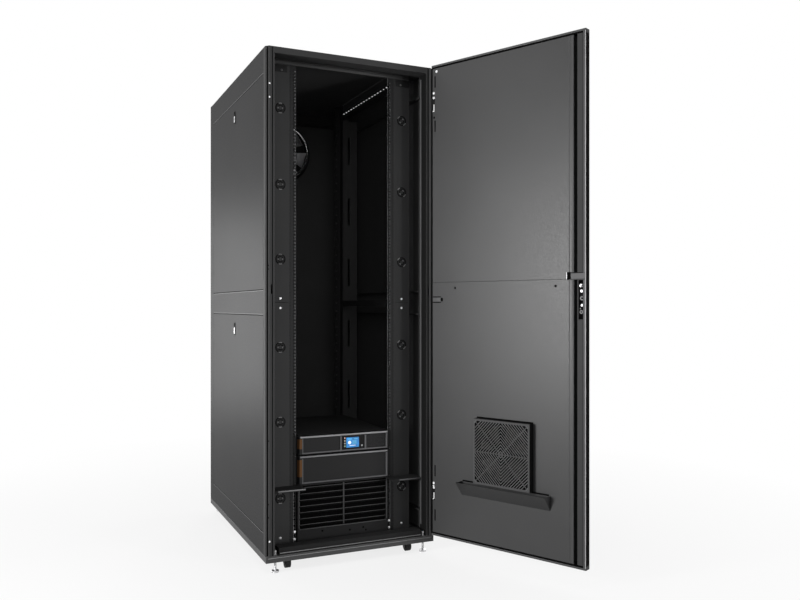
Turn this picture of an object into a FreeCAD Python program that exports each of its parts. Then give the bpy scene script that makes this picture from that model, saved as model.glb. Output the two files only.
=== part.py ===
import FreeCAD, Part
import math
import os

# Rack cabinet with its own cooling: a sealed 19-inch cabinet on casters and levelling feet, with a front door
# that carries a fan, a rear door that carries an exhaust fan, and a cooling unit, a battery module and a power
# unit in its lowest rack units.
# Frame: origin on the floor under the middle of the cabinet, X to the right, Y to the rear, Z up, millimetres.
# The front door stands open, as at rest.

Vector = FreeCAD.Vector

# Cabinet
cabinet_width = 800.0
cabinet_depth = 1200.0
cabinet_height = 2265.0
roof_drop = 9.0
sheet = 2.0
fit_gap = 0.3

# Base
floor_clearance = 46.0
skirt_height = 27.0
skirt_wall = 3.0
base_sheet = 3.0

# Frame
post_width = 38.0
post_depth = 69.0
corner_chamfer = 14.0
side_lip = 26.0
panel_recess = 21.0
rear_post_depth = 76.0
rear_post_tail = 32.0
header_height = 27.0
rear_header_height = 56.0
rear_beam_depth = 68.0
sill_height = 29.0
sill_step_height = 11.0
sill_step_depth = 6.0
sill_corner_gap = 22.0
roof_sheet = 3.0
middle_height = 1160.0
middle_band_height = 108.0
top_band_height = 110.0
bottom_band_height = 95.0
strike_width = 7.0
strike_length = 40.0
strike_rise = 11.0

# Roof vents
vent_radius = 5.0
vent_pitch = 26.0
vent_count = 24
vent_offset = 252.0
vent_first_setback = 206.0

# Rack rails
rack_unit_height = 44.45
rail_top_margin = 20.0
rail_opening = 450.0
rail_flange = 31.0
rail_return = 40.0
rail_setback = 135.0
rail_spacing = 725.0
rail_hole = 9.5
rail_hole_inset = 7.55
unit_first_hole = 6.35
unit_hole_step = 15.875
unit_holes = (0, 1, 2)

# Filler panels, baffles, braces and cable panels
filler_width = 82.0
filler_return = 30.0
baffle_inner = 206.0
baffle_setback = 52.0
baffle_edge = 10.0
baffle_clearance = 11.0
brace_width = 20.0
brace_height = 30.0
brace_end_margin = 50.0
cable_panel_width = 100.0
cable_panel_margin = 70.0
cable_slot_width = 12.0
cable_slot_length = 150.0
cable_slot_count = 6

# Cooling unit
cooling_units = 6
cooling_depth = 767.0
cooling_side_gap = 4.0
grille_thickness = 8.0
grille_border = 9.0
grille_mullion = 7.0
grille_top_bar = 6.0
lower_panel_height = 66.0
slat_count = 7
slat_thickness = 2.0
slat_drop = 9.0
coil_depth = 50.0
coil_setback = 45.0
coil_margin = 10.0
coil_fin_pitch = 34.0
coil_fin = 3.0
coil_core_inset = 6.0
compressor_radius = 70.0
compressor_height = 190.0
compressor_dome = 18.0
compressor_setback = 560.0
blower_setback = 300.0
blower_radius = 85.0
blower_width = 120.0
blower_blades = 12
blower_blade = 2.0
blower_blade_depth = 18.0
blower_disc = 3.0
blower_hub_radius = 16.0
blower_shaft_radius = 8.0
blower_side_gap = 8.0
blower_wall_gap = 12.0
blower_spout_length = 145.0

# Battery module and power unit
battery_units = 3
power_units = 2
module_width = 430.0
module_depth = 560.0
ear_width = 24.0
bezel_margin = 5.0
bezel_depth = 18.0
bezel_flare = 9.0
bezel_pocket = 4.0
bezel_rim_top = 11.0
bezel_rim_bottom = 6.0
bezel_rim_left = 14.0
bezel_rim_right = 8.0
bezel_first_mullion = 194.0
bezel_second_mullion = 315.0
bezel_mullion = 8.0
display_width = 62.0
display_height = 46.0
display_inset = 23.0
display_proud = 1.5
key_radius = 4.0
key_inset = 12.0
key_drop = 14.0
key_proud = 1.5
key_depth = 8.0

# Casters and feet
wheel_radius = 25.0
wheel_width = 22.0
wheel_bore = 4.3
axle_radius = 4.0
fork_wall = 3.0
fork_gap = 1.0
fork_trail = 18.0
fork_arm_half = 9.0
swivel_radius = 20.0
swivel_height = 8.0
swivel_pin = 5.0
caster_plate = 6.0
caster_plate_size = 60.0
caster_offset = 290.0
caster_setback = 75.0
foot_pad_radius = 17.0
foot_pad_height = 8.0
foot_stem_radius = 5.0
foot_stem_top = 88.0
foot_block_size = 24.0
foot_block_height = 14.0
foot_side_inset = 46.0
foot_setback = 20.0

# Side panels
panel_seam = 2.0
panel_skin = 1.5

# Doors
door_gap = 2.0
door_thickness = 30.0
door_side_inset = 6.0
door_bottom_gap = 4.0
door_skin = 1.5
front_open_angle = 115.0
inner_plate = 1.5
inner_seam_height = 1254.0
inner_seam_gap = 1.0
latch_gap_start = 734.0
latch_channel_start = 750.0
latch_channel_wall = 2.0
strap_start = 703.0
strap_end = 785.0
strap_height = 28.0
strap_drop = 3.0
strap_thickness = 1.5
hinge_low_margin = 199.0
hinge_high_margin = 181.0
hinge_axis_inset = 2.0
front_hinge_depth = 2.0
rear_hinge_depth = 5.0
knuckle_radius = 6.0
knuckle_length = 28.0
hinge_pin_radius = 3.0
hinge_bore = 3.3
hinge_leaf = 3.0
hinge_leaf_length = 36.0
hinge_notch_width = 17.0
hinge_notch_depth = 20.0
hinge_notch_margin = 6.0
hinge_slot_along = 20.0
hinge_slot_width = 6.0
hinge_slot_length = 52.0
hinge_slot_offset = 103.0

# Door fan and scoop
fan_box_size = 288.0
fan_box_proud = 30.0
fan_box_wall = 2.0
fan_centre_along = 400.0
fan_centre_height = 503.0
guard_thickness = 3.0
guard_border = 9.0
guard_corner = 24.0
guard_pitch = 14.0
guard_bar = 4.0
guard_slanted_ribs = (45.0, 135.0)
fan_tip_radius = 122.0
fan_hub_radius = 48.0
fan_depth = 18.0
fan_blades = 7
fan_shaft_radius = 8.0
air_slot_pitch = 20.0
air_slot_height = 9.0
scoop_start = 172.0
scoop_end = 625.0
scoop_top = 353.0
scoop_height = 62.0
scoop_proud = 48.0
scoop_wall = 1.5

# Rear exhaust fan
exhaust_drop = 230.0
exhaust_ring_radius = 160.0
exhaust_ring_wall = 5.0
exhaust_ring_depth = 70.0
exhaust_flange = 18.0
exhaust_tip_radius = 150.0
exhaust_hub_radius = 52.0
exhaust_fan_depth = 40.0
exhaust_arm_gap = 3.0
exhaust_blades = 7
exhaust_shaft_radius = 9.0
exhaust_arm = 14.0
exhaust_arm_thickness = 5.0
blade_thickness = 2.5
blade_root_angle = 48.0
blade_tip_angle = 24.0
blade_spans = 2

# Swing handles
handle_along = 769.0
handle_height = 1205.0
handle_dish_width = 30.0
handle_dish_top = 30.0
handle_dish_bottom = 130.0
handle_dish_thickness = 4.0
handle_lever_width = 20.0
handle_lever_length = 118.0
handle_lever_thickness = 9.0
handle_lever_gap = 3.0
handle_spindle_radius = 7.0
handle_bore_gap = 0.3
handle_pivot_radius = 2.5
handle_pivot_rise = 3.5
handle_cheek_rise = 5.0
cam_length = 12.0
cam_width = 12.0
cam_thickness = 3.0
cam_gap = 1.0
lock_body_top = 44.0
lock_body_bottom = 115.0
lock_body_width = 28.0

# Values that follow from the sizes above
half_width = cabinet_width / 2
front_y = -cabinet_depth / 2
rear_y = cabinet_depth / 2
roof_top = cabinet_height - roof_drop
base_top = floor_clearance + skirt_height
frame_rear_y = rear_y - door_thickness - door_gap
post_inner = half_width - post_width
panel_seat = half_width - panel_recess
side_front_y = front_y + corner_chamfer + side_lip
side_rear_y = frame_rear_y - rear_post_depth
roof_under = roof_top - roof_sheet
rack_units = int((roof_under - base_top - rail_top_margin) / rack_unit_height)
rail_y = front_y + rail_setback
rear_rail_y = rail_y + rail_spacing
rail_inner = rail_opening / 2
rail_outer = rail_inner + rail_flange
cooling_top = base_top + cooling_units * rack_unit_height
battery_top = cooling_top + battery_units * rack_unit_height
power_top = battery_top + power_units * rack_unit_height
unit_half = rail_inner - cooling_side_gap
module_half = module_width / 2
door_half = half_width - door_side_inset
door_bottom = base_top + door_bottom_gap
door_top = cabinet_height
front_inner_y = front_y - door_gap
rear_inner_y = frame_rear_y + door_gap
hinge_x = door_half - hinge_axis_inset
front_hinge_y = front_inner_y - front_hinge_depth
rear_hinge_y = rear_inner_y + rear_hinge_depth
hinge_heights = [door_bottom + hinge_low_margin, door_top - hinge_high_margin]
middle_low = middle_height - middle_band_height / 2
middle_high = middle_height + middle_band_height / 2
foot_x = half_width - foot_side_inset
caster_plate_z = base_top - base_sheet - caster_plate
exhaust_height = door_top - exhaust_drop
nodes = {}


# Building helpers


def box(x0, x1, y0, y1, z0, z1):
    """A block between two corners, given as pairs in any order."""
    low = Vector(min(x0, x1), min(y0, y1), min(z0, z1))
    return Part.makeBox(abs(x1 - x0), abs(y1 - y0), abs(z1 - z0), low)


def tray(x0, x1, y0, y1, z0, z1, wall, opened):
    """A folded sheet tray: a block hollowed to its wall, with the side that `opened` names left out."""
    low = [min(x0, x1), min(y0, y1), min(z0, z1)]
    high = [max(x0, x1), max(y0, y1), max(z0, z1)]
    inner_low = [value + wall for value in low]
    inner_high = [value - wall for value in high]
    axis = "xyz".index(opened[1])
    if opened[0] == "-":
        inner_low[axis] = low[axis] - wall
    else:
        inner_high[axis] = high[axis] + wall
    outer = box(low[0], high[0], low[1], high[1], low[2], high[2])
    hollow = box(inner_low[0], inner_high[0], inner_low[1], inner_high[1], inner_low[2], inner_high[2])
    return outer.cut(hollow)


def tube_along_x(x0, x1, y0, y1, z0, z1, wall):
    """A rectangular tube along X, open at both ends."""
    inner = box(x0 - wall, x1 + wall, y0 + wall, y1 - wall, z0 + wall, z1 - wall)
    return box(x0, x1, y0, y1, z0, z1).cut(inner)


def outline_face(points, height):
    """A flat face at a height, round a closed line of plan points."""
    corners = [Vector(x, y, height) for x, y in points]
    corners.append(corners[0])
    return Part.Face(Part.makePolygon(corners))


def prism(points, z0, z1):
    """A plan outline raised from z0 to z1."""
    return outline_face(points, z0).extrude(Vector(0, 0, z1 - z0))


def hollow_prism(points, z0, z1, wall):
    """A plan outline raised from z0 to z1 as a folded tube with its wall."""
    outer = outline_face(points, z0)
    inner = outer.makeOffset2D(-wall, 2)
    return outer.cut(inner).extrude(Vector(0, 0, z1 - z0))


def side_prism(points, x0, x1):
    """An outline of (y, z) points drawn out along X."""
    corners = [Vector(x0, y, z) for y, z in points]
    corners.append(corners[0])
    return Part.Face(Part.makePolygon(corners)).extrude(Vector(x1 - x0, 0, 0))


def six_sided(x, y, radius):
    """The plan points of a hexagon about a middle."""
    turns = [math.radians(60 * index) for index in range(6)]
    return [(x + radius * math.cos(turn), y + radius * math.sin(turn)) for turn in turns]


def upright(x, y, z0, z1, radius):
    """A round bar along Z."""
    return Part.makeCylinder(radius, z1 - z0, Vector(x, y, z0))


def bar_along_y(x, z, y0, y1, radius):
    """A round bar along Y."""
    return Part.makeCylinder(radius, abs(y1 - y0), Vector(x, min(y0, y1), z), Vector(0, 1, 0))


def bar_along_x(y, z, x0, x1, radius):
    """A round bar along X."""
    return Part.makeCylinder(radius, abs(x1 - x0), Vector(min(x0, x1), y, z), Vector(1, 0, 0))


def mirrored(shape):
    """The same piece on the other side of the cabinet."""
    return shape.mirror(Vector(0, 0, 0), Vector(1, 0, 0))


def both_sides(shape):
    """A piece and its mirror image, as two solids."""
    return [shape, mirrored(shape)]


def join(shapes):
    """One solid from pieces that touch or overlap."""
    return shapes[0].multiFuse(shapes[1:]).removeSplitter()


def add(name, shapes):
    """Keeps a node: one solid, or a group of separate solids."""
    nodes[name] = shapes if isinstance(shapes, list) else [shapes]


def swing_open(shape):
    """Turns a piece of the closed front door to its place at rest."""
    turned = shape.copy()
    turned.rotate(Vector(hinge_x, front_hinge_y, 0), Vector(0, 0, 1), front_open_angle)
    return turned


# Base and frame


def base_plate():
    """The floor sheet, with its caster plates and the nuts of the levelling feet welded below."""
    low = base_top - base_sheet
    pieces = [box(-half_width + skirt_wall, half_width - skirt_wall, front_y + skirt_wall,
                  frame_rear_y - skirt_wall, low, base_top)]
    holes = []
    for x, y in corner_places(foot_x, foot_setback):
        half = foot_block_size / 2
        pieces.append(box(x - half, x + half, y - half, y + half, low - foot_block_height, low))
        holes.append(upright(x, y, low - foot_block_height, base_top, foot_stem_radius + fit_gap))
    reach = caster_plate_size / 2
    for x, y in corner_places(caster_offset, caster_setback):
        pieces.append(box(x - reach, x + reach, y - reach, y + reach, caster_plate_z, low))
        holes.append(upright(x, y, caster_plate_z, low, swivel_pin + fit_gap))
    return join(pieces).cut(Part.makeCompound(holes))


def corner_places(offset, setback):
    """The four plan points at an offset from the middle and a setback from the frame's front and rear."""
    rear = frame_rear_y - setback
    front = front_y + setback
    return [(-offset, front), (offset, front), (-offset, rear), (offset, rear)]


def base_skirts():
    """The four upright strips under the edge of the floor sheet."""
    side = box(half_width - skirt_wall, half_width, front_y, frame_rear_y, floor_clearance, base_top)
    inner = half_width - skirt_wall
    front = box(-inner, inner, front_y, front_y + skirt_wall, floor_clearance, base_top)
    rear = box(-inner, inner, frame_rear_y - skirt_wall, frame_rear_y, floor_clearance, base_top)
    return both_sides(side) + [front, rear]


def front_post():
    """The right front post: a folded tube with a slanted outer corner and a seat for the side panels."""
    rear = front_y + post_depth
    points = [(half_width, front_y + corner_chamfer), (half_width - corner_chamfer, front_y),
              (post_inner, front_y), (post_inner, rear), (panel_seat, rear),
              (panel_seat, side_front_y), (half_width, side_front_y)]
    return hollow_prism(points, base_top, roof_top, sheet).cut(strike_slot())


def strike_slot():
    """The slot for a door's latch in a front post, across from the handle."""
    x = -along(handle_along)
    z = handle_height + strike_rise
    return box(x - strike_width / 2, x + strike_width / 2, front_y, front_y + sheet,
               z - strike_length / 2, z + strike_length / 2)


def rear_post():
    """The right rear post."""
    tail = side_rear_y - rear_post_tail
    points = [(half_width, side_rear_y), (half_width, frame_rear_y), (post_inner, frame_rear_y),
              (post_inner, tail), (panel_seat, tail), (panel_seat, side_rear_y)]
    return hollow_prism(points, base_top, roof_top, sheet)


def headers():
    """The cross tubes between the posts at the top, in front and at the rear."""
    front = tube_along_x(-post_inner, post_inner, front_y, front_y + post_depth,
                         roof_top - header_height, roof_top, sheet)
    rear = tube_along_x(-post_inner, post_inner, frame_rear_y - rear_beam_depth, frame_rear_y,
                        roof_top - rear_header_height, roof_top, sheet)
    return [front, rear]


def sills():
    """The stepped front sill and the rear sill on the floor sheet, short of the feet's screws."""
    reach = post_inner - sill_corner_gap
    low = front_y + sill_step_depth
    high = low + sill_step_depth
    rear = front_y + post_depth
    points = [(low, base_top), (rear, base_top), (rear, base_top + sill_height),
              (high, base_top + sill_height), (high, base_top + sill_step_height),
              (low, base_top + sill_step_height)]
    front = side_prism(points, -reach, reach)
    back = box(-reach, reach, frame_rear_y - rear_beam_depth, frame_rear_y, base_top, base_top + sill_height)
    return [front, back]


def side_bands():
    """The fixed bands above, between and below the side panels, on both sides."""
    limits = [(base_top, base_top + bottom_band_height), (middle_low, middle_high),
              (roof_top - top_band_height, roof_top)]
    bands = []
    for low, high in limits:
        band = tray(panel_seat, half_width, side_front_y, side_rear_y, low, high, sheet, "-x")
        bands.extend(both_sides(band))
    return bands


def roof_panel():
    """The roof sheet with a row of vents along its right side."""
    rear = frame_rear_y - rear_beam_depth
    panel = box(-panel_seat, panel_seat, front_y + post_depth, rear, roof_under, roof_top)
    corner = box(post_inner, panel_seat, rear - rear_post_depth, rear, roof_under, roof_top)
    vents = []
    for index in range(vent_count):
        y = front_y + vent_first_setback + index * vent_pitch
        vents.append(prism(six_sided(vent_offset, y, vent_radius), roof_under, roof_top))
    return panel.cut(Part.makeCompound(both_sides(corner) + vents))


# Rack rails and the pieces between rail and post


def rail(y, toward, holes_used):
    """A right rack rail: an angle with square holes in its face at y, of those that a rack unit has."""
    back = y + toward * sheet
    tip = y + toward * rail_return
    points = [(rail_inner, y), (rail_outer, y), (rail_outer, tip), (rail_outer - sheet, tip),
              (rail_outer - sheet, back), (rail_inner, back)]
    holes = []
    x = rail_inner + rail_hole_inset
    reach = rail_hole / 2
    for unit in range(rack_units):
        for step in holes_used:
            z = base_top + unit * rack_unit_height + unit_first_hole + step * unit_hole_step
            holes.append(box(x - reach, x + reach, y, back, z - reach, z + reach))
    return prism(points, base_top, roof_under).cut(Part.makeCompound(holes))


def filler_panels():
    """The blanking panels outside the front rails, in an upper and a lower half on each side."""
    outer = rail_outer + filler_width
    points = [(rail_outer, rail_y), (outer, rail_y), (outer, rail_y + filler_return),
              (outer - sheet, rail_y + filler_return), (outer - sheet, rail_y + sheet),
              (rail_outer, rail_y + sheet)]
    lower = prism(points, base_top, middle_height - panel_seam / 2)
    upper = prism(points, middle_height + panel_seam / 2, roof_under)
    return both_sides(lower) + both_sides(upper)


def baffle_shelves():
    """The flat air guides at the cooling unit's top, from the front posts to the rails."""
    front = front_y + baffle_setback
    high = cooling_top - sheet
    notch = rail_y - baffle_clearance
    points = [(baffle_inner, front), (post_inner, front), (post_inner, rail_y), (rail_inner, rail_y),
              (rail_inner, notch), (baffle_inner, notch)]
    plate = prism(points, high - sheet, high)
    edge = box(baffle_inner, post_inner, front, front + sheet, high - baffle_edge, high)
    return both_sides(join([plate, edge]))


def depth_braces():
    """The bars that tie each front rail to its rear rail."""
    bars = []
    for z in (base_top + brace_end_margin, middle_height):
        bar = tray(rail_outer, rail_outer + brace_width, rail_y + sheet, rear_rail_y - sheet,
                   z - brace_height / 2, z + brace_height / 2, sheet, "+x")
        bars.extend(both_sides(bar))
    return bars


def cable_panels():
    """The slotted cable panels outside the rear rails."""
    low = base_top + cable_panel_margin
    high = roof_under - cable_panel_margin
    plate = box(rail_outer, rail_outer + cable_panel_width, rear_rail_y - sheet, rear_rail_y, low, high)
    x = rail_outer + cable_panel_width / 2
    slots = []
    pitch = (high - low) / cable_slot_count
    for index in range(cable_slot_count):
        z = low + (index + 0.5) * pitch
        slots.append(box(x - cable_slot_width / 2, x + cable_slot_width / 2, rear_rail_y - sheet,
                         rear_rail_y, z - cable_slot_length / 2, z + cable_slot_length / 2))
    return both_sides(plate.cut(Part.makeCompound(slots)))


# Cooling unit


def cooling_chassis():
    """The cooling unit's case, open in front behind its grille."""
    return tray(-unit_half, unit_half, rail_y - sheet, rail_y - sheet + cooling_depth, base_top,
                cooling_top, sheet, "-y")


def cooling_grille():
    """The cooling unit's front: two fields of slats that slant down and back, over a plain lower panel."""
    back = rail_y - sheet
    front = back - grille_thickness
    low = base_top + lower_panel_height
    high = cooling_top - grille_top_bar
    plate = box(-unit_half, unit_half, front, back, base_top, cooling_top)
    inner = grille_mullion / 2
    outer = unit_half - grille_border
    fields = both_sides(box(inner, outer, front, back, low, high))
    pieces = [plate.cut(Part.makeCompound(fields))]
    pitch = (high - low) / slat_count
    for index in range(slat_count):
        z = low + (index + 0.5) * pitch + slat_drop / 2
        points = [(front, z), (front, z + slat_thickness), (back, z - slat_drop + slat_thickness),
                  (back, z - slat_drop)]
        pieces.extend(both_sides(side_prism(points, inner, outer)))
    return join(pieces)


def coils():
    """The finned cooling coil behind the grille and the heat-rejecting coil at the rear."""
    low = base_top + sheet
    high = cooling_top - sheet - coil_margin
    reach = unit_half - sheet - coil_margin
    first = rail_y + coil_setback
    last = rail_y - sheet + cooling_depth - coil_setback - coil_depth
    blocks = []
    for y in (first, last):
        core = box(-reach, reach, y + coil_core_inset, y + coil_depth - coil_core_inset, low, high)
        fins = []
        count = int((2 * reach - coil_fin) / coil_fin_pitch)
        start = -count * coil_fin_pitch / 2
        for index in range(count + 1):
            x = start + index * coil_fin_pitch
            fins.append(box(x - coil_fin / 2, x + coil_fin / 2, y, y + coil_depth, low, high))
        blocks.append(join([core] + fins))
    return blocks


def compressor():
    """The sealed compressor: a turned can with a sloped top on the case's floor."""
    low = base_top + sheet
    profile = [Vector(0, 0, 0), Vector(compressor_radius, 0, 0),
               Vector(compressor_radius, 0, compressor_height - compressor_dome),
               Vector(compressor_radius - compressor_dome, 0, compressor_height),
               Vector(0, 0, compressor_height), Vector(0, 0, 0)]
    can = Part.Face(Part.makePolygon(profile)).revolve(Vector(0, 0, 0), Vector(0, 0, 1), 360)
    can.translate(Vector(0, rail_y + compressor_setback, low))
    return can


def blower_places():
    """The blower's axis and side limits."""
    y = rail_y + blower_setback
    z = base_top + sheet + blower_radius + blower_wall_gap
    return y, z, blower_width / 2


def blower_housing():
    """The blower's case, open at both round inlets and towards the rear, with the wheel's shaft."""
    y, z, reach = blower_places()
    side = reach + blower_side_gap
    room = blower_radius + blower_wall_gap
    case = tray(-side, side, y - room, y + blower_spout_length, z - room, z + room, sheet, "+y")
    case = case.cut(bar_along_x(y, z, -side, side, blower_radius - blower_blade_depth))
    spider = box(-side, -side + sheet, y - blower_radius, y + blower_radius,
                 z - blower_hub_radius / 2, z + blower_hub_radius / 2)
    shaft = bar_along_x(y, z, -side, reach, blower_shaft_radius)
    return join([case, spider, shaft])


def blower_wheel():
    """The blower's drum: a hub disc, a ring of blades and an end ring."""
    y, z, reach = blower_places()
    disc = bar_along_x(y, z, reach - blower_disc, reach, blower_radius)
    hub = bar_along_x(y, z, reach - blower_width / 2, reach, blower_hub_radius)
    ring = bar_along_x(y, z, -reach, -reach + blower_disc, blower_radius)
    ring = ring.cut(bar_along_x(y, z, -reach, -reach + blower_disc, blower_radius - blower_blade_depth))
    pieces = [disc, hub, ring]
    start = blower_radius - blower_blade_depth
    for index in range(blower_blades):
        blade = box(-reach, reach, y - blower_blade / 2, y + blower_blade / 2, z + start + blower_blade,
                    z + blower_radius - blower_blade)
        blade.rotate(Vector(0, y, z), Vector(1, 0, 0), index * 360 / blower_blades)
        pieces.append(blade)
    bore = bar_along_x(y, z, -reach, reach, blower_shaft_radius + fit_gap)
    return join(pieces).cut(bore)


# Battery module and power unit


def module_chassis(low, high):
    """A rack module's case with its two ears, open in front behind its bezel."""
    front = rail_y - sheet
    case = tray(-module_half, module_half, front, front + module_depth, low, high, sheet, "-y")
    ear = box(module_half, module_half + ear_width, front, rail_y, low + bezel_margin, high - bezel_margin)
    return join([case] + both_sides(ear))


def bezel_body(low, high):
    """A moulded bezel with flared ends."""
    back = rail_y - sheet
    front = back - bezel_depth
    points = [(-module_half, front), (module_half, front), (module_half + bezel_flare, back - sheet),
              (module_half + bezel_flare, back), (-module_half - bezel_flare, back),
              (-module_half - bezel_flare, back - sheet)]
    return prism(points, low + bezel_margin, high - bezel_margin), front


def bezel_pocket_between(front, low, high, x0, x1):
    """The shallow field between two upright edges of a bezel's face."""
    return box(x0, x1, front, front + bezel_pocket, low + bezel_margin + bezel_rim_bottom,
               high - bezel_margin - bezel_rim_top)


def battery_bezel():
    """The battery module's bezel with one plain field."""
    body, front = bezel_body(cooling_top, battery_top)
    field = bezel_pocket_between(front, cooling_top, battery_top, -module_half + bezel_rim_left,
                                 module_half - bezel_rim_right)
    return body.cut(field)


def power_fields():
    """The limits in X of the power unit's three bezel fields."""
    left = -module_half
    first = left + bezel_first_mullion
    second = left + bezel_second_mullion
    return [(left + bezel_rim_left, first), (first + bezel_mullion, second),
            (second + bezel_mullion, module_half - bezel_rim_right)]


def key_place():
    """The middle of the power key in X and Z."""
    x = power_fields()[1][1] - key_inset
    z = battery_top + bezel_margin + bezel_rim_bottom + key_drop
    return x, z


def power_bezel():
    """The power unit's bezel with its plain, display and louvre fields."""
    body, front = bezel_body(battery_top, power_top)
    cuts = [bezel_pocket_between(front, battery_top, power_top, x0, x1) for x0, x1 in power_fields()]
    x, z = key_place()
    cuts.append(bar_along_y(x, z, front, front + bezel_depth, key_radius + fit_gap))
    return body.cut(Part.makeCompound(cuts))


def power_display():
    """The screen in the power unit's middle field."""
    floor = rail_y - sheet - bezel_depth + bezel_pocket
    left = power_fields()[1][0] + display_inset
    middle = (battery_top + power_top + bezel_rim_bottom - bezel_rim_top) / 2
    return box(left, left + display_width, floor - display_proud, floor, middle - display_height / 2,
               middle + display_height / 2)


def power_key():
    """The round power key beside the screen."""
    floor = rail_y - sheet - bezel_depth + bezel_pocket
    x, z = key_place()
    return bar_along_y(x, z, floor - key_proud, floor + key_depth, key_radius)


# Casters and feet


def caster_fork(x, y):
    """A caster's swivel head, two arms and axle, with the wheel trailing towards the front."""
    head_top = caster_plate_z - fit_gap
    head_low = head_top - swivel_height
    axle_y = y - fork_trail
    head = upright(x, y, head_low, head_top, swivel_radius)
    pin = upright(x, y, head_top, base_top - base_sheet - fit_gap, swivel_pin)
    inner = wheel_width / 2 + fork_gap
    outer = inner + fork_wall
    points = [(axle_y - fork_arm_half, wheel_radius - fork_arm_half),
              (axle_y + fork_arm_half, wheel_radius - fork_arm_half),
              (y + swivel_radius / 2, head_low), (axle_y - fork_arm_half, head_low)]
    arms = [side_prism(points, x + inner, x + outer), side_prism(points, x - outer, x - inner)]
    axle = bar_along_x(axle_y, wheel_radius, x - outer, x + outer, axle_radius)
    bridge = box(x - outer, x + outer, axle_y - fork_arm_half, y + swivel_radius / 2, head_low,
                 head_low + fork_wall)
    return join([head, pin, bridge, axle] + arms)


def caster_wheel(x, y):
    """A caster's wheel on its axle."""
    axle_y = y - fork_trail
    wheel = bar_along_x(axle_y, wheel_radius, x - wheel_width / 2, x + wheel_width / 2, wheel_radius)
    bore = bar_along_x(axle_y, wheel_radius, x - wheel_width / 2, x + wheel_width / 2, wheel_bore)
    return wheel.cut(bore)


def levelling_foot(x, y):
    """A levelling foot: a six-sided pad on a screw that passes the base."""
    pad = prism(six_sided(x, y, foot_pad_radius), 0, foot_pad_height)
    stem = upright(x, y, foot_pad_height, foot_stem_top, foot_stem_radius)
    return join([pad, stem])


# Side panels


def side_panel(low, high):
    """A right side panel: a folded sheet seated between the posts and two bands."""
    return tray(panel_seat + fit_gap, half_width, side_front_y + panel_seam, side_rear_y - panel_seam,
                low + panel_seam, high - panel_seam, panel_skin, "-x")


# Doors and hinges


def hinge_notches(inner_y, inward):
    """The cut-outs in a closed door's hinge edge round its hinges."""
    cuts = []
    for z in hinge_heights:
        cuts.append(box(hinge_x - hinge_notch_width, door_half, inner_y, inner_y - inward * hinge_notch_depth,
                        z - knuckle_length - hinge_notch_margin, z + knuckle_length + hinge_notch_margin))
    return Part.makeCompound(cuts)


def hinge_pin(hinge_y, seat_y, slant, z):
    """A frame hinge half: knuckle, leaf on the post and the pin that the door hangs on."""
    knuckle = upright(hinge_x, hinge_y, z - knuckle_length, z, knuckle_radius)
    pin = upright(hinge_x, hinge_y, z, z + knuckle_length, hinge_pin_radius)
    left = hinge_x - hinge_leaf / 2
    right = hinge_x + hinge_leaf / 2
    points = [(left, hinge_y), (right, hinge_y), (right, seat_y + slant * (right - hinge_x)),
              (left, seat_y + slant * (left - hinge_x))]
    leaf = prism(points, z - knuckle_length, z)
    return join([knuckle, leaf, pin])


def hinge_pins():
    """The frame hinge halves of both doors."""
    pins = []
    chamfer_y = front_y + hinge_x - (half_width - corner_chamfer)
    for z in hinge_heights:
        pins.append(hinge_pin(front_hinge_y, chamfer_y, 1, z))
        pins.append(hinge_pin(rear_hinge_y, frame_rear_y, 0, z))
    return pins


def door_knuckles(hinge_y, inner_y, inward):
    """A closed door's hinge halves: knuckles on leaves behind the door's inner sheet."""
    halves = []
    seat = inner_y - inward * inner_plate
    for z in hinge_heights:
        low = z + fit_gap
        high = z + knuckle_length
        knuckle = upright(hinge_x, hinge_y, low, high, knuckle_radius)
        leaf = box(hinge_x - hinge_leaf_length, hinge_x, seat, seat - inward * hinge_leaf, low, high)
        bore = upright(hinge_x, hinge_y, low, high, hinge_bore)
        halves.append(join([knuckle, leaf]).cut(bore))
    return halves


def door_shell(inner_y, outer_y, opened):
    """A closed door's outer sheet, folded to a tray towards the cabinet."""
    return tray(-door_half, door_half, inner_y, outer_y, door_bottom, door_top, door_skin, opened)


def along(distance):
    """The X of a point on the closed front door, measured from its hinge edge."""
    return door_half - distance


def front_handle_bore(radius):
    """The round hole through the front door for the handle's spindle."""
    outer_y = front_inner_y - door_thickness
    return bar_along_y(along(handle_along), handle_height, front_inner_y, outer_y, radius)


def front_door_shell():
    """The front door's outer sheet with its hinge cut-outs, fan slots and spindle hole."""
    outer_y = front_inner_y - door_thickness
    shell = door_shell(front_inner_y, outer_y, "+y")
    spindle_hole = front_handle_bore(handle_spindle_radius + handle_bore_gap)
    notches = hinge_notches(front_inner_y, 1)
    fan_x = along(fan_centre_along)
    slots = air_slots(fan_x, fan_centre_height, fan_tip_radius, outer_y, outer_y + door_skin)
    return shell.cut(Part.makeCompound([spindle_hole, notches] + slots))


def air_slots(x, z, field, y0, y1):
    """The level slots in a door's outer sheet at a fan, cut to a round field."""
    slots = []
    count = int((field - air_slot_height) / air_slot_pitch)
    for index in range(-count, count + 1):
        low = z + index * air_slot_pitch - air_slot_height / 2
        reach = math.sqrt(field ** 2 - (index * air_slot_pitch) ** 2)
        slots.append(box(x - reach, x + reach, y0, y1, low, low + air_slot_height))
    return slots


def hinge_slots():
    """The upright slots above and below each hinge in the front door's inner sheets."""
    x = along(hinge_slot_along)
    half = hinge_slot_width / 2
    slots = []
    for hinge_z in hinge_heights:
        for z in (hinge_z - hinge_slot_offset, hinge_z + hinge_slot_offset):
            slots.append(box(x - half, x + half, front_inner_y, front_inner_y - inner_plate,
                             z - hinge_slot_length / 2, z + hinge_slot_length / 2))
    return slots


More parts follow.
